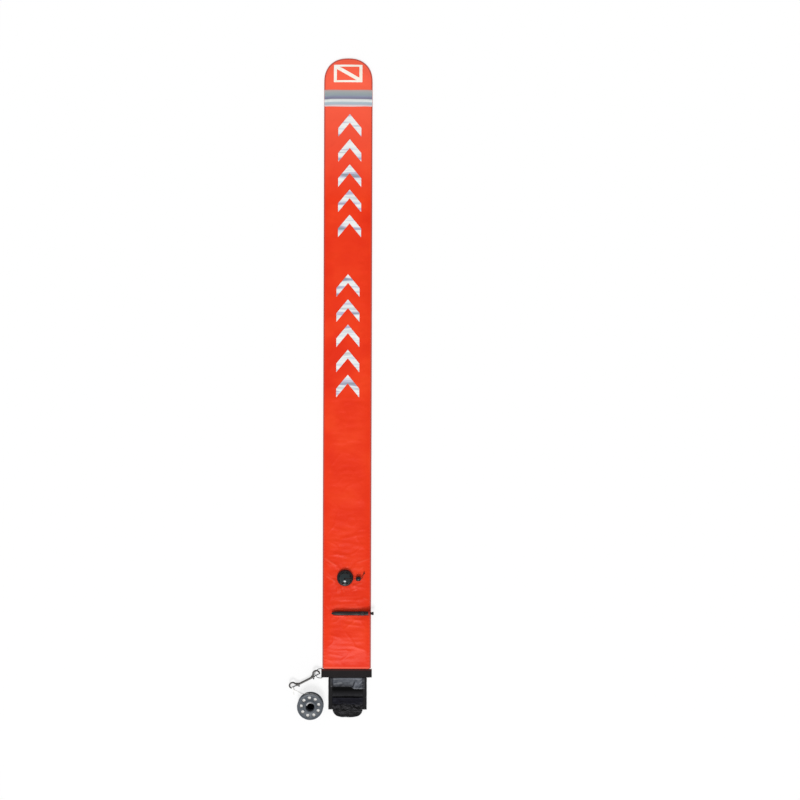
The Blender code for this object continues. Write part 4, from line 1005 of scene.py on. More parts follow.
def tape_place(u, v):
    """A place on the tape, which sags between the seams and has two raised creases."""
    t = fine_columns[u]
    y = BAND_LOW + (BAND_HIGH - BAND_LOW) * v / 24
    crease = 0.7 * bump_at(y - 1717.5, 1.8) + 0.35 * bump_at(y - 1734, 3.0)
    return on_front(BAND_HALF * t, y - BAND_SAG * (1 - t * t)) + Vector((0, 0, crease))


band = two_faced("reflective_band_tape", grid_of(len(fine_columns), 25, tape_place), FILM, tape)
fit(band, "buoy", "silver_film", "reflective_band")

CHEVRON_HALF = 34.5
CHEVRON_STROKE = 26.0
CHEVRON_RISE = 41.5
CHEVRON_PITCH = 75.3


def chevron_grid(tip, shift):
    """A chevron whose outer tip is at a place along the buoy, a little to one side of the middle."""
    middle = tip + (CHEVRON_RISE - CHEVRON_STROKE) / 2

    def place(u, v):
        x = CHEVRON_HALF * (u - 12) / 12
        return on_front(x + shift, middle + CHEVRON_STROKE * v / 8 - CHEVRON_RISE * abs(x) / CHEVRON_HALF)

    return grid_of(25, 9, place)


ROWS_OF_MARKS = ((1642.5, 5.0), (1163.0, 1.0))
tips = [(first - k * CHEVRON_PITCH, shift) for first, shift in ROWS_OF_MARKS for k in range(5)]
for number, (tip, shift) in enumerate(tips, 1):
    chevron = two_faced(f"chevron_mark_{number:02d}", chevron_grid(tip, shift), FILM, mark_film)
    fit(chevron, "buoy", "silver_film", f"chevron_{number:02d}")
print("chevrons:", len(tips))

# %% [markdown]
# The flag at the top is the divers' signal: a frame with one diagonal. It is one sheet of cream
# film with two corners cut out of it.

# %% Divers' flag
FLAG_MIDDLE = Vector((-0.6, 1798.2))
FLAG_HALF = Vector((42.75, 26.5))
FLAG_SIDE = 9.0
FLAG_END = 6.0


def flag_place(u, v):
    """A place on the flag's film."""
    return on_front(FLAG_MIDDLE.x + FLAG_HALF.x * (u / 12 - 1), FLAG_MIDDLE.y + FLAG_HALF.y * (v / 8 - 1))


flag = two_faced("flag_film", grid_of(25, 17, flag_place), FILM, flag_film)
inner = Vector((FLAG_HALF.x - FLAG_SIDE, FLAG_HALF.y - FLAG_END))
slope = inner.y / inner.x
setback = FLAG_SIDE * 0.55
corners = [(-inner.x, inner.y - setback - slope * 4), (-inner.x, -inner.y),
           (inner.x - setback / slope, -inner.y)]
windows = []
for sign in (1, -1):
    outline = [(FLAG_MIDDLE.x + sign * x, FLAG_MIDDLE.y + sign * y) for x, y in corners]
    windows.append(punch(outline, -5, 30))
combine(flag, windows)
fit(flag, "buoy", "cream_film", "flag_mark")
print("flag:", 2 * FLAG_HALF.x, "by", 2 * FLAG_HALF.y, "mm")

# %% [markdown]
# ## Dump valve
# The valve sits in a hole in the front panel. Its base is clamped on the cloth, a spring holds a
# poppet down on the seat, and a cap with vents screws over it. A diver pulls the cord to lift the
# poppet and let air out. All of it is turned from half sections that step in and out the way a
# mould does, because small rounded steps are what catch the light.

# %% Valve base and gasket
valve_frame = Matrix.Translation((VALVE.x, VALVE.y, SEAT))
base_profile = [(1.5, 0), (1.5, -3), (2.8, -3), (2.8, 0), (9.0, 0), (9.0, -2.6), (10.5, -2.6), (10.5, 0),
                (24.0, 0), (24.4, 0.2), (24.6, 0.7), (24.5, 1.2), (24.0, 1.7), (23.2, 1.8), (22.9, 1.5),
                (21.4, 1.5), (21.1, 1.8), (19.8, 1.9), (19.5, 2.2), (19.5, 3.4), (19.2, 3.7), (19.5, 4.0),
                (19.5, 5.2), (19.2, 5.5), (19.5, 5.8), (19.5, 7.2), (19.1, 7.6), (17.9, 7.6), (17.5, 7.2),
                (17.5, 2.2), (17.1, 1.8)]
valve_base = turned("valve_base_moulded", base_profile, valve_nylon, sides=96, frame=valve_frame)
SEAT_HOLES = 6
hole_places = [around(5.9, math.tau * k / SEAT_HOLES) for k in range(SEAT_HOLES)]
hole_frames = [valve_frame @ Matrix.Translation(at) for at in hole_places]
combine(valve_base, [drill(2.1, -5, 5, frame, sides=24) for frame in hole_frames])
fit(valve_base, "buoy", "valve_black", "valve_base")

gasket_profile = [(20.4, 2.3), (20.6, 2.1), (22.4, 2.1), (22.6, 2.3), (22.6, 2.8), (22.4, 3.0), (20.6, 3.0),
                  (20.4, 2.8)]
gasket = turned("valve_gasket_rubber", gasket_profile, rubber, sides=96, frame=valve_frame)
fit(gasket, "buoy", "black_rubber", "valve_gasket")

# %% Valve cap
CAP_VENTS = 8
DOME_RADIUS = 15.5
DOME_FOOT = 11.5
cap_profile = [(19.9, 3.3), (23.0, 3.3), (23.7, 3.5), (24.0, 4.1), (24.0, 8.2), (23.8, 9.0), (23.2, 9.9),
               (22.2, 10.7), (21.3, 11.0), (20.8, 10.7), (20.0, 10.8), (19.5, 11.2), (17.4, 11.6),
               (16.0, 11.6), (15.6, 11.9), (15.4, 12.4), (14.9, 13.2), (13.8, 14.2), (12.2, 15.1),
               (10.2, 15.9), (8.0, 16.5), (5.6, 16.9), (3.2, 17.2), (2.5, 17.1), (2.2, 16.8), (2.2, 15.6),
               (8.0, 14.9), (12.0, 13.2), (13.6, 11.0), (13.6, 9.8), (19.9, 9.8)]
valve_cap = turned("valve_cap_moulded", cap_profile, valve_nylon, dome_plastic, sides=144, frame=valve_frame,
                   flutes=(36, 0.7, 22.9))
vent_outline = []
for end, first in ((-2.0, -math.pi), (2.0, 0.0)):
    vent_outline += [(17.85 + 1.05 * math.cos(first + math.pi * j / 6),
                      end + 1.05 * math.sin(first + math.pi * j / 6)) for j in range(7)]
vent_turns = [Matrix.Rotation(math.tau * (k + 0.5) / CAP_VENTS, 4, "Z") for k in range(CAP_VENTS)]
combine(valve_cap, [punch(vent_outline, 9, 13, valve_frame @ turn) for turn in vent_turns])
for polygon in valve_cap.data.polygons:
    out = (polygon.center.xy / MM - VALVE).length
    if out < DOME_RADIUS and polygon.center.z / MM > SEAT + DOME_FOOT:
        polygon.material_index = 1
fit(valve_cap, "buoy", "valve_black", "valve_cap")
print("valve cap:", len(valve_cap.data.polygons), "faces")

# %% [markdown]
# Under the cap a coil spring presses the poppet and its rubber seal on the seat. A spring can't
# follow a sliding part; here each spring is only given a mesh of its own.

# %% Spring, poppet and seal under the cap
def shorten(spring):
    """Give a spring a mesh of its own."""
    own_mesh(spring)


spring_frame = valve_frame @ Matrix.Translation((0, 0, 5.4))
valve_spring = tube("valve_spring_coil", [spring_frame @ p for p in coil(5.4, 4, 7.4)], 0.4, spring_steel)
fit(valve_spring, "buoy", "spring_wire", "valve_spring")
shorten(valve_spring)
poppet_profile = [(0, -2.0), (0.9, -2.0), (1.2, -1.7), (1.2, 3.4), (10.7, 3.4), (11.0, 3.6), (11.0, 4.2),
                  (10.7, 4.4), (2.2, 4.7), (1.6, 5.2), (1.6, 13.1), (1.3, 13.4), (0, 13.4)]
valve_poppet = turned("valve_poppet_moulded", poppet_profile, valve_nylon, frame=valve_frame)
fit(valve_poppet, "dump_poppet", "valve_black", "valve_poppet")
seal_profile = [(1.6, 2.2), (1.8, 2.1), (9.9, 2.1), (10.2, 2.3), (10.2, 2.9), (9.9, 3.1), (1.8, 3.1),
                (1.6, 3.0)]
poppet_seal = turned("poppet_seal_rubber", seal_profile, rubber, frame=valve_frame)
fit(poppet_seal, "dump_poppet", "black_rubber", "poppet_seal")
print("valve's seat is", round(SEAT, 1), "mm up, under a cap", max(z for r, z in cap_profile), "mm high")

# %% [markdown]
# ## Webbing and stitches
# Webbing is a flat weave whose two edges, the selvedges, are round. It is made by carrying a flat
# section with round ends along a path. Stitches are real: short pieces of thread that dip into the
# cloth at both ends, one after the other along a line.

# %% Ribbon and stitch helpers
def ribbon(name, path, across, width, thickness, *materials, closed=False, parts=6, ribs=0.0):
    """Webbing along a path. Across is the way its width runs, and ribs swell every second step."""
    path = [Vector(p) for p in path]
    across = Vector(across).normalized()
    r = thickness / 2
    edge = width / 2 - r
    flat = [edge - (width - thickness) * k / parts for k in range(parts + 1)]
    ends = [math.radians(t) for t in (60, 30, 0, -30, -60)]
    section = [(u, r) for u in reversed(flat)]
    section += [(edge + r * math.cos(t), r * math.sin(t)) for t in ends]
    section += [(u, -r) for u in flat]
    section += [(-edge - r * math.cos(t), r * math.sin(t)) for t in reversed(ends)]
    points = []
    count = len(path)
    for i, middle in enumerate(path):
        before = path[i - 1] if closed or i > 0 else middle
        after = path[(i + 1) % count] if closed or i < count - 1 else middle
        out = across.cross(after - before).normalized()
        swell = 1 + ribs * (i % 2)
        points += [middle + across * u + out * v * swell for u, v in section]
    size = len(section)
    faces = []
    for i in range(count if closed else count - 1):
        low = i * size
        high = (i + 1) % count * size
        faces += [(low + k, low + (k + 1) % size, high + (k + 1) % size, high + k) for k in range(size)]
    if not closed:
        faces.append(tuple(reversed(range(size))))
        faces.append(tuple(range((count - 1) * size, count * size)))
    return build(name, points, faces, *materials, angle=50)


def spaced(line, step):
    """Points exactly a step apart along a line of points."""
    line = [Vector(p) for p in line]
    made = [line[0]]
    left = step
    for a, b in zip(line, line[1:]):
        run = (b - a).length
        while run >= left:
            a = a.lerp(b, left / run)
            run -= left
            made.append(a)
            left = step
        left -= run
    return made


def add_stitches(points, faces, line, out=(0, 0, 1), length=2.4, gap=0.8, radius=0.22):
    """Add stitches along a line that lies on cloth. Out is the way the cloth's face looks."""
    out = Vector(out)
    marks = spaced(line, (length + gap) / 4)
    for first in range(0, len(marks) - 3, 4):
        a, b, c, d = marks[first:first + 4]
        dip = out * radius * 1.5
        rise = out * radius * 0.3
        crown = out * radius * 0.5
        stitch = [a - dip, a.lerp(b, 0.5) + rise, b.lerp(c, 0.5) + crown, c.lerp(d, 0.5) + rise, d - dip]
        add_tube(points, faces, stitch, [radius * 0.7, radius, radius, radius, radius * 0.7], 6)


def stitching(name, lines, material, out=(0, 0, 1), **sizes):
    """One piece made of all the stitches along several lines."""
    points = []
    faces = []
    for line in lines:
        add_stitches(points, faces, line, out, **sizes)
    return build(name, points, faces, material, angle=80)


# %% [markdown]
# ## Oral inflator
# Air goes in here by mouth, or from a regulator held against it. A pointed tube is glued to an
# orange patch that is welded on the bladder. Its right end holds a barrel with a sprung plunger
# that opens when the mouthpiece is pushed in, and a ring that locks it. A loop of orange webbing
# keeps the end down.

# %% Inflator patch
TUBE_RADIUS = 6.3
AXIS_Z = smooth_front(0, INFLATOR_Y) + 1.6 + TUBE_RADIUS
PATCH_X = -16.5
PATCH_HALF = Vector((37.0, 13.0))
inflator_frame = Matrix.Translation((0, INFLATOR_Y, AXIS_Z)) @ Matrix.Rotation(math.radians(90), 4, "Y")


def patch_top(x, y):
    """The patch's top: flat on the bladder, with a pressed welt round the tube's pointed end."""
    beside = math.hypot(max(0.0, -37 - x) * 1.2, y - INFLATOR_Y)
    welt = 1.3 * bump_at(beside - 8.4, 2.0) * (1 - ease(-14, -4, x))
    edge = max(abs(x - PATCH_X) / PATCH_HALF.x, abs(y - INFLATOR_Y) / PATCH_HALF.y)
    return smooth_front(x, y) + 0.3 + FABRIC + welt - 0.35 * ease(0.9, 1.0, edge)


def patch_place(u, v):
    """A place on the patch, whose outline is a long rounded oval."""
    along = math.sin(math.pi / 2 * (u / 60 - 1))
    half = PATCH_HALF.y * math.sqrt(max(0.0, 1 - abs(along * 0.999) ** 2.4))
    x = PATCH_X + PATCH_HALF.x * along
    y = INFLATOR_Y + (v / 22 - 1) * half
    return Vector((x, y, patch_top(x, y)))


patch = two_faced("inflator_patch_welded", grid_of(121, 45, patch_place), FABRIC, nylon)
combine(patch, [drill(INLET_HOLE, -6, 6, Matrix.Translation((INLET_X, INFLATOR_Y, 12)))])
fit(patch, "buoy", "orange_nylon", "inflator_patch")

# %% Inflator tube and barrel
tube_profile = [(0, -45.5), (1.2, -45.2), (2.2, -44.4), (3.3, -42.6), (4.3, -40.0), (5.1, -36.8),
                (5.7, -33.2), (6.1, -29.6), (TUBE_RADIUS, -26.0), (TUBE_RADIUS, 8.0), (6.5, 8.4), (6.5, 9.6),
                (TUBE_RADIUS, 10.0), (TUBE_RADIUS, 34.6), (6.6, 35.0), (6.6, 37.2), (TUBE_RADIUS, 37.8),
                (0, 37.8)]
inflator_tube = turned("inflator_tube_moulded", tube_profile, inflator_plastic, sides=64,
                       frame=inflator_frame)
inlet = Matrix.Translation((INLET_X, INFLATOR_Y, AXIS_Z))
spigot_profile = [(0, -10.4), (4.6, -10.4), (5.0, -10.0), (5.0, 0), (0, 0)]
combine(inflator_tube, [turned("spigot", spigot_profile, sides=40, frame=inlet)], "UNION")
combine(inflator_tube, [drill(4.0, -26, 45, inflator_frame, sides=48), drill(3.2, -20, 0, inlet)])
fit(inflator_tube, "buoy", "inflator_black", "inflator_tube")

barrel_profile = [(4.2, 38.1), (6.3, 38.1), (6.6, 38.5), (6.6, 40.4), (6.3, 41.0), (4.9, 41.2), (4.9, 53.8),
                  (6.2, 53.9), (6.6, 54.4), (6.3, 55.0), (6.3, 57.0), (6.0, 57.4), (6.3, 57.8), (6.3, 59.8),
                  (6.0, 60.2), (6.3, 60.6), (6.3, 64.0), (6.1, 67.2), (5.8, 70.6), (5.4, 71.0), (4.2, 71.0),
                  (4.2, 50.0), (2.4, 50.0), (2.4, 48.0), (4.2, 48.0)]
barrel = turned("inflator_barrel_moulded", barrel_profile, inflator_plastic, sides=64, frame=inflator_frame)
fit(barrel, "buoy", "inflator_black", "inflator_barrel")
inflator_coil = [inflator_frame @ Matrix.Translation((0, 0, 50.6)) @ p for p in coil(3.0, 4, 4.7)]
inflator_spring = tube("inflator_spring_coil", inflator_coil, 0.25, spring_steel)
fit(inflator_spring, "buoy", "spring_wire", "inflator_spring")
shorten(inflator_spring)

# %% Mouthpiece, plunger and lock ring
mouth_profile = [(2.0, 56.0), (3.7, 56.0), (3.7, 74.7), (4.0, 75.3), (4.5, 76.3), (4.8, 77.8), (4.9, 79.6),
                 (4.7, 80.5), (4.1, 81.0), (2.9, 81.0), (2.3, 80.4), (2.0, 79.0)]
mouthpiece = turned("mouthpiece_moulded", mouth_profile, inflator_plastic, frame=inflator_frame)
fit(mouthpiece, "mouthpiece", "inflator_black", "mouthpiece")
plunger_profile = [(0, 43.4), (3.2, 43.4), (3.4, 43.7), (3.4, 45.4), (3.0, 45.7), (1.2, 46.0), (1.2, 58.0),
                   (0, 58.0)]
plunger = turned("inflator_plunger_moulded", plunger_profile, inflator_plastic, frame=inflator_frame)
fit(plunger, "mouthpiece", "inflator_black", "inflator_plunger")
o_ring_profile = [(1.5, 46.4), (1.7, 46.3), (3.3, 46.3), (3.5, 46.5), (3.5, 47.4), (3.3, 47.6), (1.7, 47.6),
                  (1.5, 47.5)]
seal_ring = turned("inflator_seal_rubber", o_ring_profile, rubber, frame=inflator_frame)
fit(seal_ring, "mouthpiece", "black_rubber", "inflator_seal_ring")
ring_profile = [(5.3, 41.7), (5.5, 41.6), (6.3, 41.6), (6.7, 42.0), (6.9, 42.8), (6.9, 52.2), (6.7, 53.0),
                (6.3, 53.4), (5.5, 53.4), (5.3, 53.3)]
lock_ring = turned("lock_ring_fluted", ring_profile, inflator_plastic, sides=96, frame=inflator_frame,
                   flutes=(16, 0.55, 6.6))
fit(lock_ring, "lock_ring", "inflator_black", "lock_ring")

# %% Webbing loop that holds the inflator
LOOP_X = 67.8
LOOP_WIDTH = 5.8
LOOP_THICKNESS = 1.0
foot = smooth_front(LOOP_X - LOOP_WIDTH / 2, INFLATOR_Y) + 0.6 + LOOP_THICKNESS / 2
loop_radius = TUBE_RADIUS + 0.4 + LOOP_THICKNESS / 2
loop_line = [(INFLATOR_Y + 9.0, foot), (INFLATOR_Y + 5.0, foot), (INFLATOR_Y + 2.9, foot + 0.1)]
loop_turns = [math.radians(degrees) for degrees in range(-68, 249, 12)]
loop_line += [(INFLATOR_Y + loop_radius * math.cos(turn), AXIS_Z + loop_radius * math.sin(turn))
              for turn in loop_turns]
loop_line += [(INFLATOR_Y - 2.9, foot + 0.1), (INFLATOR_Y - 5.0, foot), (INFLATOR_Y - 9.0, foot)]
retaining_loop = ribbon("retaining_loop_webbing", [(LOOP_X, y, z) for y, z in loop_line], (1, 0, 0),
                        LOOP_WIDTH, LOOP_THICKNESS, orange_webbing)
fit(retaining_loop, "buoy", "orange_nylon", "retaining_loop")
tacks = [[(LOOP_X + end, INFLATOR_Y + y, foot + LOOP_THICKNESS / 2) for end in (-2.4, 2.4)]
         for y in (-5.2, -6.6, -8.0, 5.2, 6.6, 8.0)]
loop_stitches = stitching("retaining_loop_stitches", tacks, orange_webbing, length=1.7, gap=0.5, radius=0.2)
fit(loop_stitches, "buoy", "orange_nylon")
print("inflator axis is", round(AXIS_Z, 1), "mm up")

# %% [markdown]
# ## Base band and D-ring
# The open end of the bag is sewn into a strip of 25 mm webbing, folded round the straight bar of a
# D-ring. The webbing is one closed loop here. Its ribs run across it 1.2 mm apart, and are real: the
# section swells a little at every second step. Rows of stitches hold the fold shut.

# %% Base band
RING_BAR = Vector((-73.1, 0.0, 2.9))
WEBBING = 1.3
BAND_TOP = 5.15
BAR_WRAP = 2.25
wrap_turns = [math.radians(degrees) for degrees in range(90, 271, 15)]
band_line = [(RING_BAR.x + BAR_WRAP * math.cos(turn), RING_BAR.z + BAR_WRAP * math.sin(turn))
             for turn in wrap_turns]
band_line += [(73.4, 0.65), (74.3, 0.8), (74.75, 1.25), (74.75, 1.9), (74.3, 2.35), (73.4, 2.6),
              (70.5, 3.4), (67.75, 4.25), (66.0, 4.5), (-64.0, 4.5), (-67.0, 4.55), (-70.5, 4.9),
              (RING_BAR.x, 5.15)]
band_path = spaced([(x, 0, z) for x, z in band_line], 0.6)
base_band = ribbon("base_band_webbing", band_path[:-1], (0, 1, 0), 25.0, WEBBING, webbing, closed=True,
                   parts=8, ribs=0.14)
fit(base_band, "buoy", "black_webbing", "base_band")


def tack_box(x0, x1, y0, y1, z):
    """The five lines of a box stitch: a rectangle with one diagonal."""
    corners = [(x0, y0, z), (x1, y0, z), (x1, y1, z), (x0, y1, z), (x0, y0, z)]
    return [[a, b] for a, b in zip(corners, corners[1:])] + [[corners[0], corners[2]]]


seam_line = [(x, -10.2, 2.55) for x in (-66.5, 0, 66.5)]
seam_strip = ribbon("base_band_seam_strip", seam_line, (0, 0, 1), 2.3, 0.25, webbing)
fit(seam_strip, "buoy", "black_webbing")
band_rows = [[(-63, y, BAND_TOP + 0.05), (65, y, BAND_TOP + 0.05)] for y in (-10.4, -8.6, 10.4)]
band_rows += tack_box(-63, -45, -7, 8.6, BAND_TOP + 0.05) + tack_box(49, 65, -7, 8.6, BAND_TOP + 0.05)
band_stitches = stitching("base_band_stitches", band_rows, thread)
fit(band_stitches, "buoy", "black_webbing")
print("base band:", round(length_of(band_path)), "mm of webbing")

# %% [markdown]
# The D-ring is bent from one steel rod: a straight bar, two small corners and a bow. Its places are
# written as how far they are from the bar and how far along it, and then tilted as the ring lies.

# %% D-ring
RING_HALF = 14.2
RING_CORNER = 2.0
RING_BOW = 19.0
RING_TILT = math.radians(18)
ring_line = [(0.0, y * (RING_HALF - RING_CORNER)) for y in (-1, -0.5, 0, 0.5, 1)]
corner = [(RING_CORNER * (1 - math.cos(turn)), RING_HALF - RING_CORNER * (1 - math.sin(turn)))
          for turn in (math.radians(degrees) for degrees in range(15, 90, 15))]
ring_line += corner
ring_line += [(4 + RING_BOW * math.sin(math.pi * k / 36), RING_HALF * math.cos(math.pi * k / 36))
              for k in range(37)]
ring_line += [(away, -along) for away, along in reversed(corner)]
ring_path = [RING_BAR + Vector((-p * math.cos(RING_TILT), y, p * math.sin(RING_TILT))) for p, y in ring_line]
d_ring = tube("d_ring_wire", ring_path, 1.15, ring_steel, sides=20, closed=True)
fit(d_ring, "d_ring", "ring_steel", "d_ring")
print("D-ring:", 2 * RING_HALF, "mm wide inside its bar's ends")

# %% [markdown]
# ## Double-ended snap
# The snap is cast in steel: a barrel with a hooked eye at each end. A sprung bolt slides in each end
# of the barrel and closes its eye, and a knob on the bolt sticks out of a slot. The rod of each eye
# grows out of the barrel with no edge between them, so barrel and rods are remeshed together into
# one skin and smoothed, and only then are the bores and slots cut with sharp edges.

# %% Snap body
barrel_place = snap_frame @ Matrix.Translation((0, BOLT_LINE, 0))
along_x = Matrix.Rotation(math.radians(90), 4, "Y")
snap_ends = {"upper": barrel_place, "lower": barrel_place @ Matrix.Rotation(math.pi, 4, "Y")}
barrel_half = [(3.2, 29.2), (3.15, 30.0), (2.8, 30.7), (2.2, 31.0), (0, 31.0)]
barrel_profile = [(r, -h) for r, h in reversed(barrel_half)] + barrel_half
snap_body = turned("snap_body_cast", barrel_profile, snap_steel, sides=40, frame=barrel_place @ along_x)

# Each point of the eye is its place along and across the snap, and the rod's radius there.
EYE = Vector((39.5, 4.0))
hook = [Vector(p) for p in ((18.4, 0.9, 0.9), (21.9, 1.7, 1.75), (25.4, 2.7, 2.6), (28.0, 4.0, 2.8))]
for k in range(16):
    turn = math.radians(172 - 14 * k)
    hook.append(Vector((EYE.x + 9.4 * math.cos(turn), EYE.y + 10.6 * math.sin(turn), 2.6 - 0.02 * k)))
tip = (hook[-1] - hook[-2]).normalized()
hook += [hook[-1] + tip * 0.5 + Vector((0, 0, -0.3)), hook[-1] + tip * 0.9 + Vector((0, 0, -1.2))]
hook = smooth_route(hook, 0.8)
arms = [tube("arm", [snap_frame @ Vector((sign * u, v, 0)) for u, v, r in hook], [r for u, v, r in hook],
             sides=24) for sign in (1, -1)]
combine(snap_body, arms, "UNION")
skin = snap_body.modifiers.new("skin", "REMESH")
skin.mode = "VOXEL"
skin.voxel_size = 0.36 * MM
soften = snap_body.modifiers.new("soften", "SMOOTH")
soften.factor = 0.5
soften.iterations = 7
bake(snap_body, angle=180)

# %% [markdown]
# Each end of the barrel is bored for its bolt, slotted for the knob, and turned with two grooves.

# %% Bores, slots and grooves
bore_profile = [(0, 5), (2.05, 5), (2.05, 30.2), (2.45, 30.9), (2.6, 35), (0, 35)]
slot_outline = [(13.0, -5.0), (25.9, -5.0), (25.9, 0.0), (13.0, 0.0)]
cuts = []
for end in snap_ends.values():
    cuts.append(turned("bore", bore_profile, sides=40, frame=end @ along_x))
    cuts.append(punch(slot_outline, -1.25, 1.25, end))
    for low in (27.4, 11.2):
        groove_profile = [(2.98, low), (4.0, low - 0.5), (4.0, low + 1.1), (2.98, low + 0.6)]
        cuts.append(turned("groove", groove_profile, sides=40, frame=end @ along_x))
combine(snap_body, cuts)
fit(snap_body, "snap", "snap_steel", "snap_body")
print("snap body:", len(snap_body.data.polygons), "faces")

# %% Bolts, knobs and springs of the snap
knob_profile = [(0, 2.05), (0.7, 2.05), (0.7, 4.9), (1.4, 5.05), (1.85, 5.5), (2.1, 6.2), (2.15, 7.0),
                (2.1, 7.7), (1.8, 8.4), (1.3, 8.85), (0.7, 9.05), (0, 9.1)]
bolt_profile = [(0, 19.0), (1.6, 19.0), (BOLT_RADIUS, 19.2), (BOLT_RADIUS, 42.9), (1.65, 43.5),
                (1.35, 43.95), (0.9, 44.1), (0, 44.1)]
KNOB_ALONG = 24.5
sideways = Matrix.Rotation(math.radians(90), 4, "X")
for end_name, end in snap_ends.items():
    bolt_piece = turned(f"bolt_{end_name}_turned", bolt_profile, bolt_steel, frame=end @ along_x, sides=40)
    fit(bolt_piece, f"bolt_{end_name}", "bolt_steel", f"bolt_{end_name}")
    along = KNOB_ALONG if end_name == "upper" else -KNOB_ALONG
    outward = barrel_place @ Matrix.Translation((along, 0, 0)) @ sideways
    knob = turned(f"knob_{end_name}_turned", knob_profile, bolt_steel, frame=outward, sides=40)
    fit(knob, f"bolt_{end_name}", "bolt_steel", f"knob_{end_name}")
    coil_place = end @ along_x @ Matrix.Translation((0, 0, 5.9))
    bolt_coil = tube(f"bolt_spring_{end_name}_coil", [coil_place @ p for p in coil(1.35, 5, 12.4)], 0.25,
                     spring_steel, sides=10)
    fit(bolt_coil, "snap", "spring_wire", f"bolt_spring_{end_name}")
    shorten(bolt_coil)
    print(f"{end_name} bolt:", bolt_profile[-1][1] - bolt_profile[0][1], "mm long")

# %% [markdown]
# ## Finger spool
# The spool is two grey flanges on a hub that a finger fits through, with nine holes in each flange
# for parking the snap or the line. The holes are chamfered, because that pale ring round each hole
# is what shows from above. The flanges, hub and line are separate pieces, as on the real spool.

# %% Spool flanges and hub
SPOOL_HOLES = 9
HOLE_CIRCLE = 26.7
FIRST_HOLE = math.radians(94.6)
HOLE = 5.25
CHAMFER = 1.65
spool_frame = Matrix.Translation(SPOOL)
low_profile = [(13.0, 0.5), (13.5, 0), (38.0, 0), (38.7, 0.3), (39.0, 1.0), (39.0, 2.5), (38.7, 3.2),
               (38.0, 3.5), (13.0, 3.5)]
high_profile = [(13.0, 25.5), (38.0, 25.5), (38.7, 25.8), (39.0, 26.5), (39.0, 28.0), (38.8, 28.8),
                (38.3, 29.3), (37.4, 29.5), (36.5, 29.3), (35.9, 29.0), (33.0, 28.9), (20.4, 28.9),
                (19.7, 29.2), (19.4, 29.7), (18.9, 30.0), (14.0, 30.0), (13.3, 29.7), (13.0, 29.0)]
hole_turns = [FIRST_HOLE + math.tau * k / SPOOL_HOLES for k in range(SPOOL_HOLES)]
flanges = {"bottom": (low_profile, 0.0, 3.5), "top": (high_profile, 25.5, 28.9)}
for place_name, (profile, low, high) in flanges.items():
    flange = turned(f"spool_flange_{place_name}_moulded", profile, spool_plastic, sides=144,
                    frame=spool_frame)
    cutter = [(0, low - 1), (HOLE + CHAMFER, low - 1), (HOLE, low + 0.65), (HOLE, high - 0.65),
              (HOLE + CHAMFER, high + 1), (0, high + 1)]
    places = [spool_frame @ Matrix.Translation(around(HOLE_CIRCLE, turn)) for turn in hole_turns]
    combine(flange, [turned("hole", cutter, sides=40, frame=place) for place in places])
    fit(flange, "spool", "spool_grey", f"spool_flange_{place_name}")
hub_profile = [(13.0, 3.8), (16.0, 3.8), (16.0, 25.2), (13.0, 25.2)]
spool_hub = turned("spool_hub_moulded", hub_profile, spool_plastic, sides=96, frame=spool_frame)
fit(spool_hub, "spool", "spool_grey", "spool_hub")
print("spool:", 2 * low_profile[4][0], "mm across, with", SPOOL_HOLES, "holes in each flange")

# %% [markdown]
# The inner layers of line are one ribbed body, of which only the ribs show between the turns. The
# outer layer is one real strand, wound in even turns from the top flange down to where it leaves.

# %% Line on the spool
WOUND = 31.6
PACK_LOW = 4.1
PACK_HIGH = 24.9
RIB_STEP = 0.34
core_profile = [(16.3, PACK_LOW), (16.3, PACK_HIGH)]
for k in range(62):
    z = PACK_HIGH - k * RIB_STEP
    core_profile.append((29.95 + 0.5 * abs(math.cos(math.pi * (z - PACK_LOW) / LINE)), z))
line_core = turned("line_core_pack", core_profile, white_line, sides=96, frame=spool_frame)
fit(line_core, "spool", "white_line", "line_core")
TURNS = 9
STEPS = 200
winding_path = []
for k in range(TURNS * STEPS + 1):
    turn = math.radians(90) + math.tau * (k - TURNS * STEPS) / STEPS
    winding_path.append(SPOOL + around(WOUND, turn, 24.05 - 19.1 * k / (TURNS * STEPS)))
winding = plaited("line_winding_layer", winding_path, LINE, white_line, 1.0, strands=6, sides=12)
fit(winding, "spool", "white_line", "line_winding")
print("line in the outer layer:", round(length_of(winding_path) / 1000, 2), "m")

# %% [markdown]
# ## Pouch
# The whole buoy rolls up into this pouch. Its back is black cloth with a bound edge on each side. A
# strip of grey lining shows at the top and a strip of loop tape below it. A pocket of knitted net
# holds the rolled bag, and a flap with hook tape, folded underneath here, closes over it. All layers
# share one gentle wave, so that they lie on each other without gaps. The lining's folds are written
# as their ends, width and height again, and a second table of the same kind gives the painted shade
# and painted highlights along them.

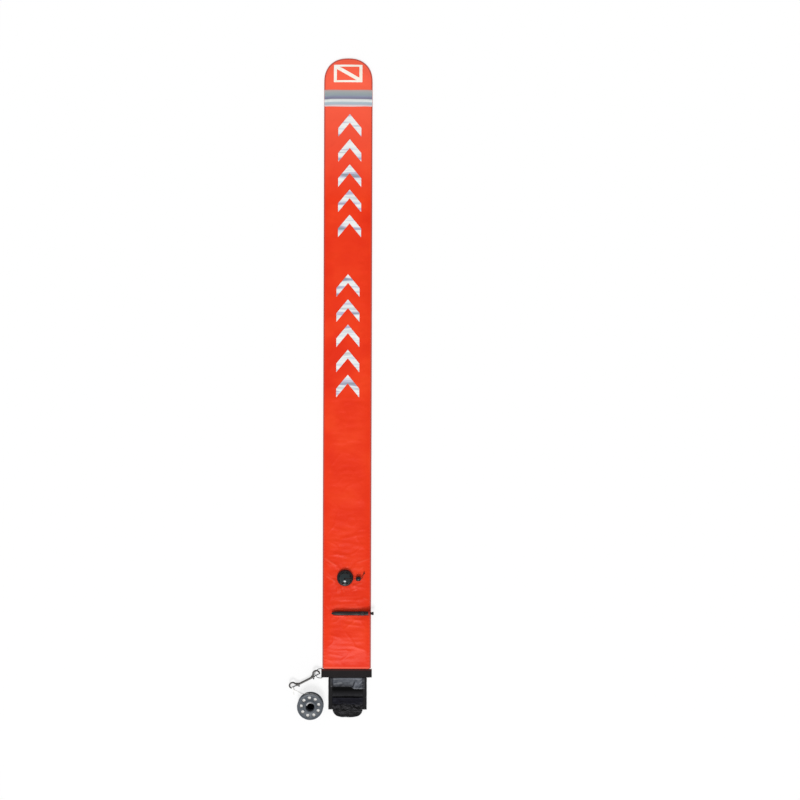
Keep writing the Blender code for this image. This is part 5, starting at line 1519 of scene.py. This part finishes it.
# %% Pouch panel, lining and loop tape
POUCH_X = 3.0
POUCH_HALF = 56.5
POUCH_TOP = -13.6
POUCH_FOOT = -107.5
PANEL_TOP = 3.8
LINING_HALF = 45.5
LINING_REACH = 51.5
PILE_TOP = -41.8
PILE_FOOT = -70.0
LINING_FOLDS = [((-45, -16.2), (50, -16.2), 1.5, 0.8), ((-36, -19.4), (20, -19.4), 1.0, -0.7),
                ((30, -19), (21, -44), 2.2, 2.0), ((26, -16), (17, -41), 1.3, -1.2),
                ((52, -27), (27, -46), 2.0, 1.7), ((48, -19), (38, -30), 1.8, 1.0),
                ((-40, -30), (-12, -26), 2.4, 0.8)]
LINING_SHADES = [((-38, -16.2), (46, -16.2), 0.9, 0.30), ((-36, -19.0), (24, -19.0), 0.9, -0.26),
                 ((-30, -22.5), (22, -22.0), 1.8, 0.14), ((24.5, -24), (17.5, -43), 1.5, -0.46),
                 ((51, -30), (33, -47), 2.2, -0.34), ((30, -25), (22.5, -43), 2.6, 0.20),
                 ((44, -22), (34, -38), 2.4, 0.14), ((-6, -31), (-24, -36), 2.6, -0.20),
                 ((1, -24), (3, -36), 2.0, -0.12)]


def pouch_wave(x, y):
    """How the pouch's layers rise and fall together."""
    return 0.28 * ripple(x, y, 0.05, 0.06, 3.3) * ease(-14, -26, y)


def layer(name, x_span, y_span, top, thickness, material, step=2.0):
    """A flat layer of cloth over a span of x and y, whose top is a function of both."""
    across = max(2, round((x_span[1] - x_span[0]) / step))
    along = max(2, round((y_span[1] - y_span[0]) / step))

    def place(u, v):
        x = x_span[0] + (x_span[1] - x_span[0]) * u / across
        y = y_span[0] + (y_span[1] - y_span[0]) * v / along
        return Vector((x, y, top(x, y)))

    return two_faced(name, grid_of(across + 1, along + 1, place), thickness, material)


def lining_foot(x):
    """The lining's lower edge, which hangs lower at the right."""
    return -41.0 - 5.5 * ease(12, 24, x)


def lining_top(x, y):
    """Crumpled lining: a hem at its top, short sharp folds, and a fan of folds at the right."""
    out = abs(x - POUCH_X)
    loose = ease(0, 5, LINING_REACH - out) * ease(0, 3, y - lining_foot(x)) * ease(0, 2.5, POUCH_TOP - y)
    broad = max(0.0, 1 - 2 * abs(ripple(x, y, 0.05, 0.06, 7.7))) ** 2
    folds = 0.55 * broad + 0.12 * ripple(x, y, 0.10, 0.14, 2.1)
    folds += sum(rise * ridge(x, y, start, end, width) for start, end, width, rise in LINING_FOLDS)
    over = max(1.25 * ease(42.5, 46.0, out), 1.5 * ease(-39.5, -41.8, y))
    return PANEL_TOP + 0.85 + over + pouch_wave(x, y) + max(-0.3, folds) * loose


def lining_shade(x, y):
    """Painted light and shade on the lining: 0.5 is plain, 1 a painted highlight on a fold, 0 painted shade.
    """
    # Painted shade toward the lower left, and a little painted light toward the right.
    shade = 0.53 - 0.16 * ease(-24, -38, y) * (1 - ease(8, 22, x)) + 0.05 * ease(8, 30, x)
    # Painted shadow along the lower edge, as cast by the loop tape's raised edge.
    shade -= 0.34 * ease(-33, -41, y - 3 * ripple(x, 0, 0.05, 1, 3)) * (1 - ease(12, 22, x))
    shade += sum(gain * ridge(x, y, start, end, width) for start, end, width, gain in LINING_SHADES)
    # Painted shade along both sides.
    return shade - 0.44 * ease(41.5, 46.5, abs(x - POUCH_X))


def pile_top(x, y):
    """Loop tape: tufts that stand at slightly different heights."""
    tuft = 0.22 * ripple(x, y, 0.9, 0.9, 4.4)
    edge = ease(0, 1.2, PILE_TOP - y) * ease(0, 1.2, y - PILE_FOOT)
    bulge = 2.0 * ease(-43, -61, y) * ease(-70, -63, y) * ease(0, 6, LINING_HALF - abs(x - POUCH_X))
    return PANEL_TOP + 1.2 + 0.3 * edge + bulge + pouch_wave(x, y) + tuft * edge


span = (POUCH_X - POUCH_HALF, POUCH_X + POUCH_HALF)
inner_span = (POUCH_X - LINING_HALF, POUCH_X + LINING_HALF)
pouch_panel = layer("pouch_panel_cloth", span, (POUCH_FOOT, POUCH_TOP),
                    lambda x, y: PANEL_TOP + pouch_wave(x, y), 1.2, pouch_cloth)
fit(pouch_panel, "pouch", "black_cloth", "pouch_panel")


def lining_place(u, v):
    """A place on the lining, whose lower edge isn't straight."""
    x = POUCH_X + LINING_REACH * (u / 51 - 1)
    y = lining_foot(x) + (POUCH_TOP - lining_foot(x)) * v / 35
    return Vector((x, y, lining_top(x, y)))


lining = two_faced("pouch_lining_cloth", grid_of(103, 36, lining_place), 0.5, lining_nylon)
paint(lining, "fold", lining_shade)
fit(lining, "pouch", "grey_lining", "pouch_lining")
loop_tape = layer("closure_loop_tape_pile", inner_span, (PILE_FOOT, PILE_TOP), pile_top, 1.2, loop_pile,
                  step=0.8)
fit(loop_tape, "pouch", "loop_tape", "closure_loop_tape")
print("pouch:", 2 * POUCH_HALF, "by", round(POUCH_TOP - POUCH_FOOT, 1), "mm")

# %% [markdown]
# Each side of the pouch is bound with a folded strip of tape, which two rows of stitches hold.

# %% Bindings with their stitches
binding_path = [(45.8, 5.0), (46.3, 5.1), (49.0, 5.15), (53.5, 5.1), (56.0, 4.95), (57.0, 4.7), (57.45, 4.2),
                (57.6, 3.4), (57.6, 2.6)]


def binding_place(u, v, sign):
    """A place on a binding: column u runs along the pouch, and row v over its edge."""
    out, z = binding_path[v]
    y = POUCH_FOOT - 0.8 + (POUCH_TOP - POUCH_FOOT + 0.8) * u / 60
    x = POUCH_X + sign * (out + 0.3 * ripple(y, sign, 0.09, 3.0, 0.5))
    puff = 0.12 * ripple(y, out, 0.5, 0.4, sign * 2.0)
    return Vector((x, y, z + puff + (pouch_wave(x, y) if out < 56 else 0)))


binding_rows = []
for side_name, sign in (("left", -1), ("right", 1)):
    rows = grid_of(61, len(binding_path), lambda u, v: binding_place(u if sign < 0 else 60 - u, v, sign))
    binding = two_faced(f"binding_{side_name}_tape", rows, 0.8, binding_cloth)
    fit(binding, "pouch", "black_cloth", f"binding_{side_name}")
    for out in (48.2, 55.0):
        x = POUCH_X + sign * out
        binding_rows.append([(x, y, 5.18 + pouch_wave(x, y)) for y in range(-106, -14, 2)])
binding_stitches = stitching("binding_stitches", binding_rows, thread)
fit(binding_stitches, "pouch", "black_cloth")
print("binding stitches:", len(binding_stitches.data.vertices) // 30)

# %% [markdown]
# ## Net pocket
# The pocket is a bag of knitted polyester net with round corners, which lies crumpled. Its surface
# is written as one function of a turn round the bag and a place along it. A honeycomb of threads is
# laid on that surface and given thickness by the Wireframe modifier, then rounded by subdivision. A
# dark skin just inside it stands for the net that has folded in on itself and for the shade inside
# the pocket; its dark colour is painted shade. A hem of plain cloth binds its mouth.

# %% Surface of the net pocket
POCKET_X = 3.4
POCKET_MOUTH = -72.5
POCKET_FOOT = -131.5
POCKET_HALF = 45.0
POCKET_CORNER = 25.0
POCKET_EDGE = 1.2


def pocket_half(y):
    """Half width of the pocket, with round lower corners."""
    rise = min(1.0, max(0.0, POCKET_FOOT + POCKET_CORNER - y) / POCKET_CORNER)
    return POCKET_HALF - POCKET_CORNER * (1 - math.sqrt(1 - rise ** 2))


def pocket_place(turn, y):
    """A place on the crumpled pocket. Turn goes round it from its right side, over the top."""
    share = (y - POCKET_MOUTH) / (POCKET_FOOT - POCKET_MOUTH)
    # The pocket lies on the pouch as far as the pouch reaches, and on the table below it.
    low = 4.4 * (1 - ease(-108.3, -116.3, y)) + 0.5
    tall = 19.0 * (0.42 + 0.58 * ease(0, 0.3, share)) * (1 - 0.62 * ease(0.45, 1.0, share))
    reach = pocket_half(y) * math.copysign(abs(math.cos(turn)) ** 0.7, math.cos(turn))
    x = POCKET_X + reach
    over = max(0.0, math.sin(turn)) ** 0.8
    dent = 0.42 * abs(ripple(x, y, 0.045, 0.06, 11.0))
    dent += 0.26 * abs(ripple(x, y, 0.11, 0.13, 21.0))
    dent += 0.42 * abs(ripple(x + y, x - y, 0.095, 0.03, 41.0))
    height = POCKET_EDGE * (1 + min(0.0, math.sin(turn))) + (tall - POCKET_EDGE) * over * (1 - dent * 1.1)
    sway = 1.6 * ripple(x, y, 0.05, 0.07, 31.0) * over
    return Vector((x + sway, max(POCKET_FOOT + 0.4, y + sway), low + height))


def net(name, cells, rows, yarn):
    """Honeycomb net over the pocket: cells round it and rows along it, with yarn of a thickness."""
    ring = 2 * cells
    points = []
    for r in range(rows + 1):
        for k in range(ring):
            zigzag = 0.25 * (1 if (k + r) % 2 == 0 else -1) if 0 < r < rows else 0.0
            y = POCKET_MOUTH + (POCKET_FOOT - POCKET_MOUTH) * (r + zigzag) / rows
            points.append(pocket_place(math.tau * k / ring, y))
    faces = []
    for r in range(rows):
        for k in range(r % 2, ring, 2):
            a, b, c = (r * ring + (k + j) % ring for j in range(3))
            faces.append((a, b, c, c + ring, b + ring, a + ring))
    foot = rows * ring
    for k in range(2, cells, 2):
        near = [foot + k + j for j in range(3)]
        far = [foot + ring - k - j for j in (2, 1, 0)]
        faces.append((*near, *far))
    piece = build(name, points, faces, net_yarn)
    yarns = piece.modifiers.new("yarns", "WIREFRAME")
    yarns.thickness = yarn * MM
    yarns.use_even_offset = False
    smooth = piece.modifiers.new("round", "SUBSURF")
    smooth.levels = smooth.render_levels = 1
    return bake(piece, angle=180)


# %% Net, folded net inside it, and hem
outer_net = net("mesh_pocket_net", 46, 16, 0.95)
fit(outer_net, "pouch", "black_net", "mesh_pocket")


def beside_net(name, first, last, rows, off, material, sides=112):
    """A closed skin just inside the net, or just outside it, over a span of places along it."""
    def place(u, v):
        turn = math.tau * u / sides
        p = pocket_place(turn, first + (last - first) * v / rows)
        over = max(0.0, math.sin(turn)) ** 0.8
        return Vector((p.x + off * math.cos(turn), p.y, p.z + off * over + 0.2 * (1 - over)))

    return two_faced(name, grid_of(sides, rows + 1, place), 0.4, material, closed=True)


# A dark skin of painted shade inside the net, which stands for net folded in on itself.
inner_net = beside_net("mesh_pocket_inner_folds", POCKET_MOUTH - 4, POCKET_FOOT + 1, 40, -1.2, folded_net_in_painted_shade)
fit(inner_net, "pouch", "black_net")
hem = beside_net("mesh_pocket_hem", POCKET_MOUTH + 0.6, POCKET_MOUTH - 17, 12, 0.9, hem_cloth)
fit(hem, "pouch", "black_cloth")
print("net:", len(outer_net.data.polygons), "and", len(inner_net.data.polygons), "faces")

# %% [markdown]
# ## Flap and folds
# The flap lies folded back under the pouch, so only its edges show. Where the pouch and the flap are
# sewn into the base band, a strip of cloth goes into the fold of the webbing.

# %% Flap, hook tape and the two folds
FLAP_HALF = 54.5
SEWN_EDGE = POUCH_TOP + 0.02
flap_span = (POUCH_X - FLAP_HALF, POUCH_X + FLAP_HALF)
flap = layer("flap_panel_cloth", flap_span, (-103.5, POUCH_TOP), lambda x, y: 1.1, 1.1, pouch_cloth)
fit(flap, "flap", "black_cloth", "flap_panel")
hook_tape = layer("closure_hook_tape_pile", inner_span, (-97.5, -72.5),
                  lambda x, y: 2.1 + 0.1 * ripple(x, y, 1, 1, 8.0), 0.8, loop_pile, step=1.0)
fit(hook_tape, "flap", "loop_tape", "closure_hook_tape")

pouch_fold = layer("pouch_fold_cloth", span, (SEWN_EDGE, -10.6), lambda x, y: PANEL_TOP - 0.05, 1.15,
                   pouch_cloth, step=0.5)
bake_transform(pouch_fold)
flap_fold = layer("flap_fold_cloth", flap_span, (SEWN_EDGE, -12.6), lambda x, y: 1.1, 1.05, pouch_cloth,
                  step=0.25)
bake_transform(flap_fold)
print("folds:", pouch_fold.name, flap_fold.name)

# %% [markdown]
# ## Table, light and background
# The photograph was made on a white sheet under a large soft light from the base band's end. A sun
# lamp with a wide angle gives that light evenly along the whole buoy, and a pale sky fills the
# shadows. The two add up to about 1 on a flat surface, so a colour renders as it is written. A small
# low lamp only makes the spark on the valve's dome.
# The sheet is white. For rays that the camera or a reflection sends, most of it glows, so that the
# object's shadow stays but is as faint as in the photograph. In the photograph hardly any light
# reaches the sheet at the bottom of the spool's bore. The glow would hide that, so the sheet is
# nearly black in a small round place there, for as long as the spool covers it: an Ambient
# Occlusion node tells whether it does.

# %% White sheet
GLOW = 0.7
SHADE_MIDDLE = (-0.1079, -0.1033, 0.0)
SHADE_CORE = 0.0115
SHADE_RIM = 0.0134
COVER_REACH = 0.06
COVERED = 0.3
OPEN = 0.5
table_points = [(-3500, -2600, 0), (3800, -2600, 0), (3800, 4300, 0), (-3500, 4300, 0)]
table_mesh = bpy.data.meshes.new("table")
table_mesh.from_pydata([tuple(Vector(p) * MM) for p in table_points], [], [(0, 1, 2, 3)])
table_top = bpy.data.objects.new("table", table_mesh)
bpy.context.collection.objects.link(table_top)
table_top.location.z = -0.0004
paper, tree, shader, place = surface("white_paper_sheet", "FFFFFF", 0.9, Specular_IOR_Level=0.0)
table_mesh.materials.append(paper)
rays = add(tree, "LightPath").outputs
seen = add(tree, "Math", {0: rays["Is Camera Ray"], 1: rays["Is Glossy Ray"]}, operation="MAXIMUM")
seen = add(tree, "Math", {0: seen.outputs["Value"], 1: rays["Is Transmission Ray"]}, operation="MAXIMUM")
away = add(tree, "VectorMath", {0: place, 1: SHADE_MIDDLE}, operation="DISTANCE")
beside = add(tree, "MapRange", {"Value": away.outputs["Value"], "From Min": SHADE_CORE,
                                "From Max": SHADE_RIM})
cover = add(tree, "AmbientOcclusion", {"Distance": COVER_REACH})
uncovered = add(tree, "MapRange", {"Value": cover.outputs["AO"], "From Min": COVERED, "From Max": OPEN})
lit = add(tree, "Math", {0: beside.outputs["Result"], 1: uncovered.outputs["Result"]}, operation="MAXIMUM")
glowing = add(tree, "Math", {0: lit.outputs["Value"], 1: GLOW}, operation="MULTIPLY")
share = add(tree, "Math", {0: seen.outputs["Value"], 1: glowing.outputs["Value"]}, operation="MULTIPLY")
glow = add(tree, "Emission", {"Color": colour("FFFFFF"), "Strength": 1.0})
lit_sheet = add(tree, "MixRGB", {"Fac": lit.outputs["Value"], "Color1": colour("101216"),
                                 "Color2": colour("FFFFFF")})
tree.links.new(lit_sheet.outputs["Color"], shader.inputs["Base Color"])
mixed = add(tree, "MixShader", {0: share.outputs["Value"], 1: shader.outputs["BSDF"],
                                2: glow.outputs["Emission"]})
tree.links.new(mixed.outputs["Shader"], tree.nodes["Material Output"].inputs["Surface"])
print("sheet:", len(tree.nodes), "nodes in its material")

# %% Sky and lamps
SKY = 0.53
SUN = 1.87
SUN_ANGLE = math.radians(22)
SPARK = 3.0
world = bpy.data.worlds.new("studio")
world.use_nodes = True
bpy.context.scene.world = world
sky = world.node_tree.nodes["Background"]
sky.inputs["Color"].default_value = colour("FFFFFF")
sky.inputs["Strength"].default_value = SKY


def lamp(name, kind, place, aim, power):
    """A lamp of a kind that faces a place. A sun's power is in watts a square metre."""
    light = bpy.data.lights.new(name, kind)
    light.energy = power
    holder = bpy.data.objects.new(name, light)
    holder.location = place
    holder.rotation_euler = (Vector(aim) - Vector(place)).to_track_quat("-Z", "Y").to_euler()
    holder.visible_camera = False
    bpy.context.collection.objects.link(holder)
    return light


sun = lamp("window_sun", "SUN", (-0.2, -2.3, 3.0), (0.0, 0.0, 0.0), SUN)
sun.angle = SUN_ANGLE
spark = lamp("low_lamp", "AREA", (-0.05, -1.7, 0.33), (-0.005, 0.2875, 0.02), SPARK)
spark.size = 0.35
print("lamps:", [light.name for light in bpy.data.lights])
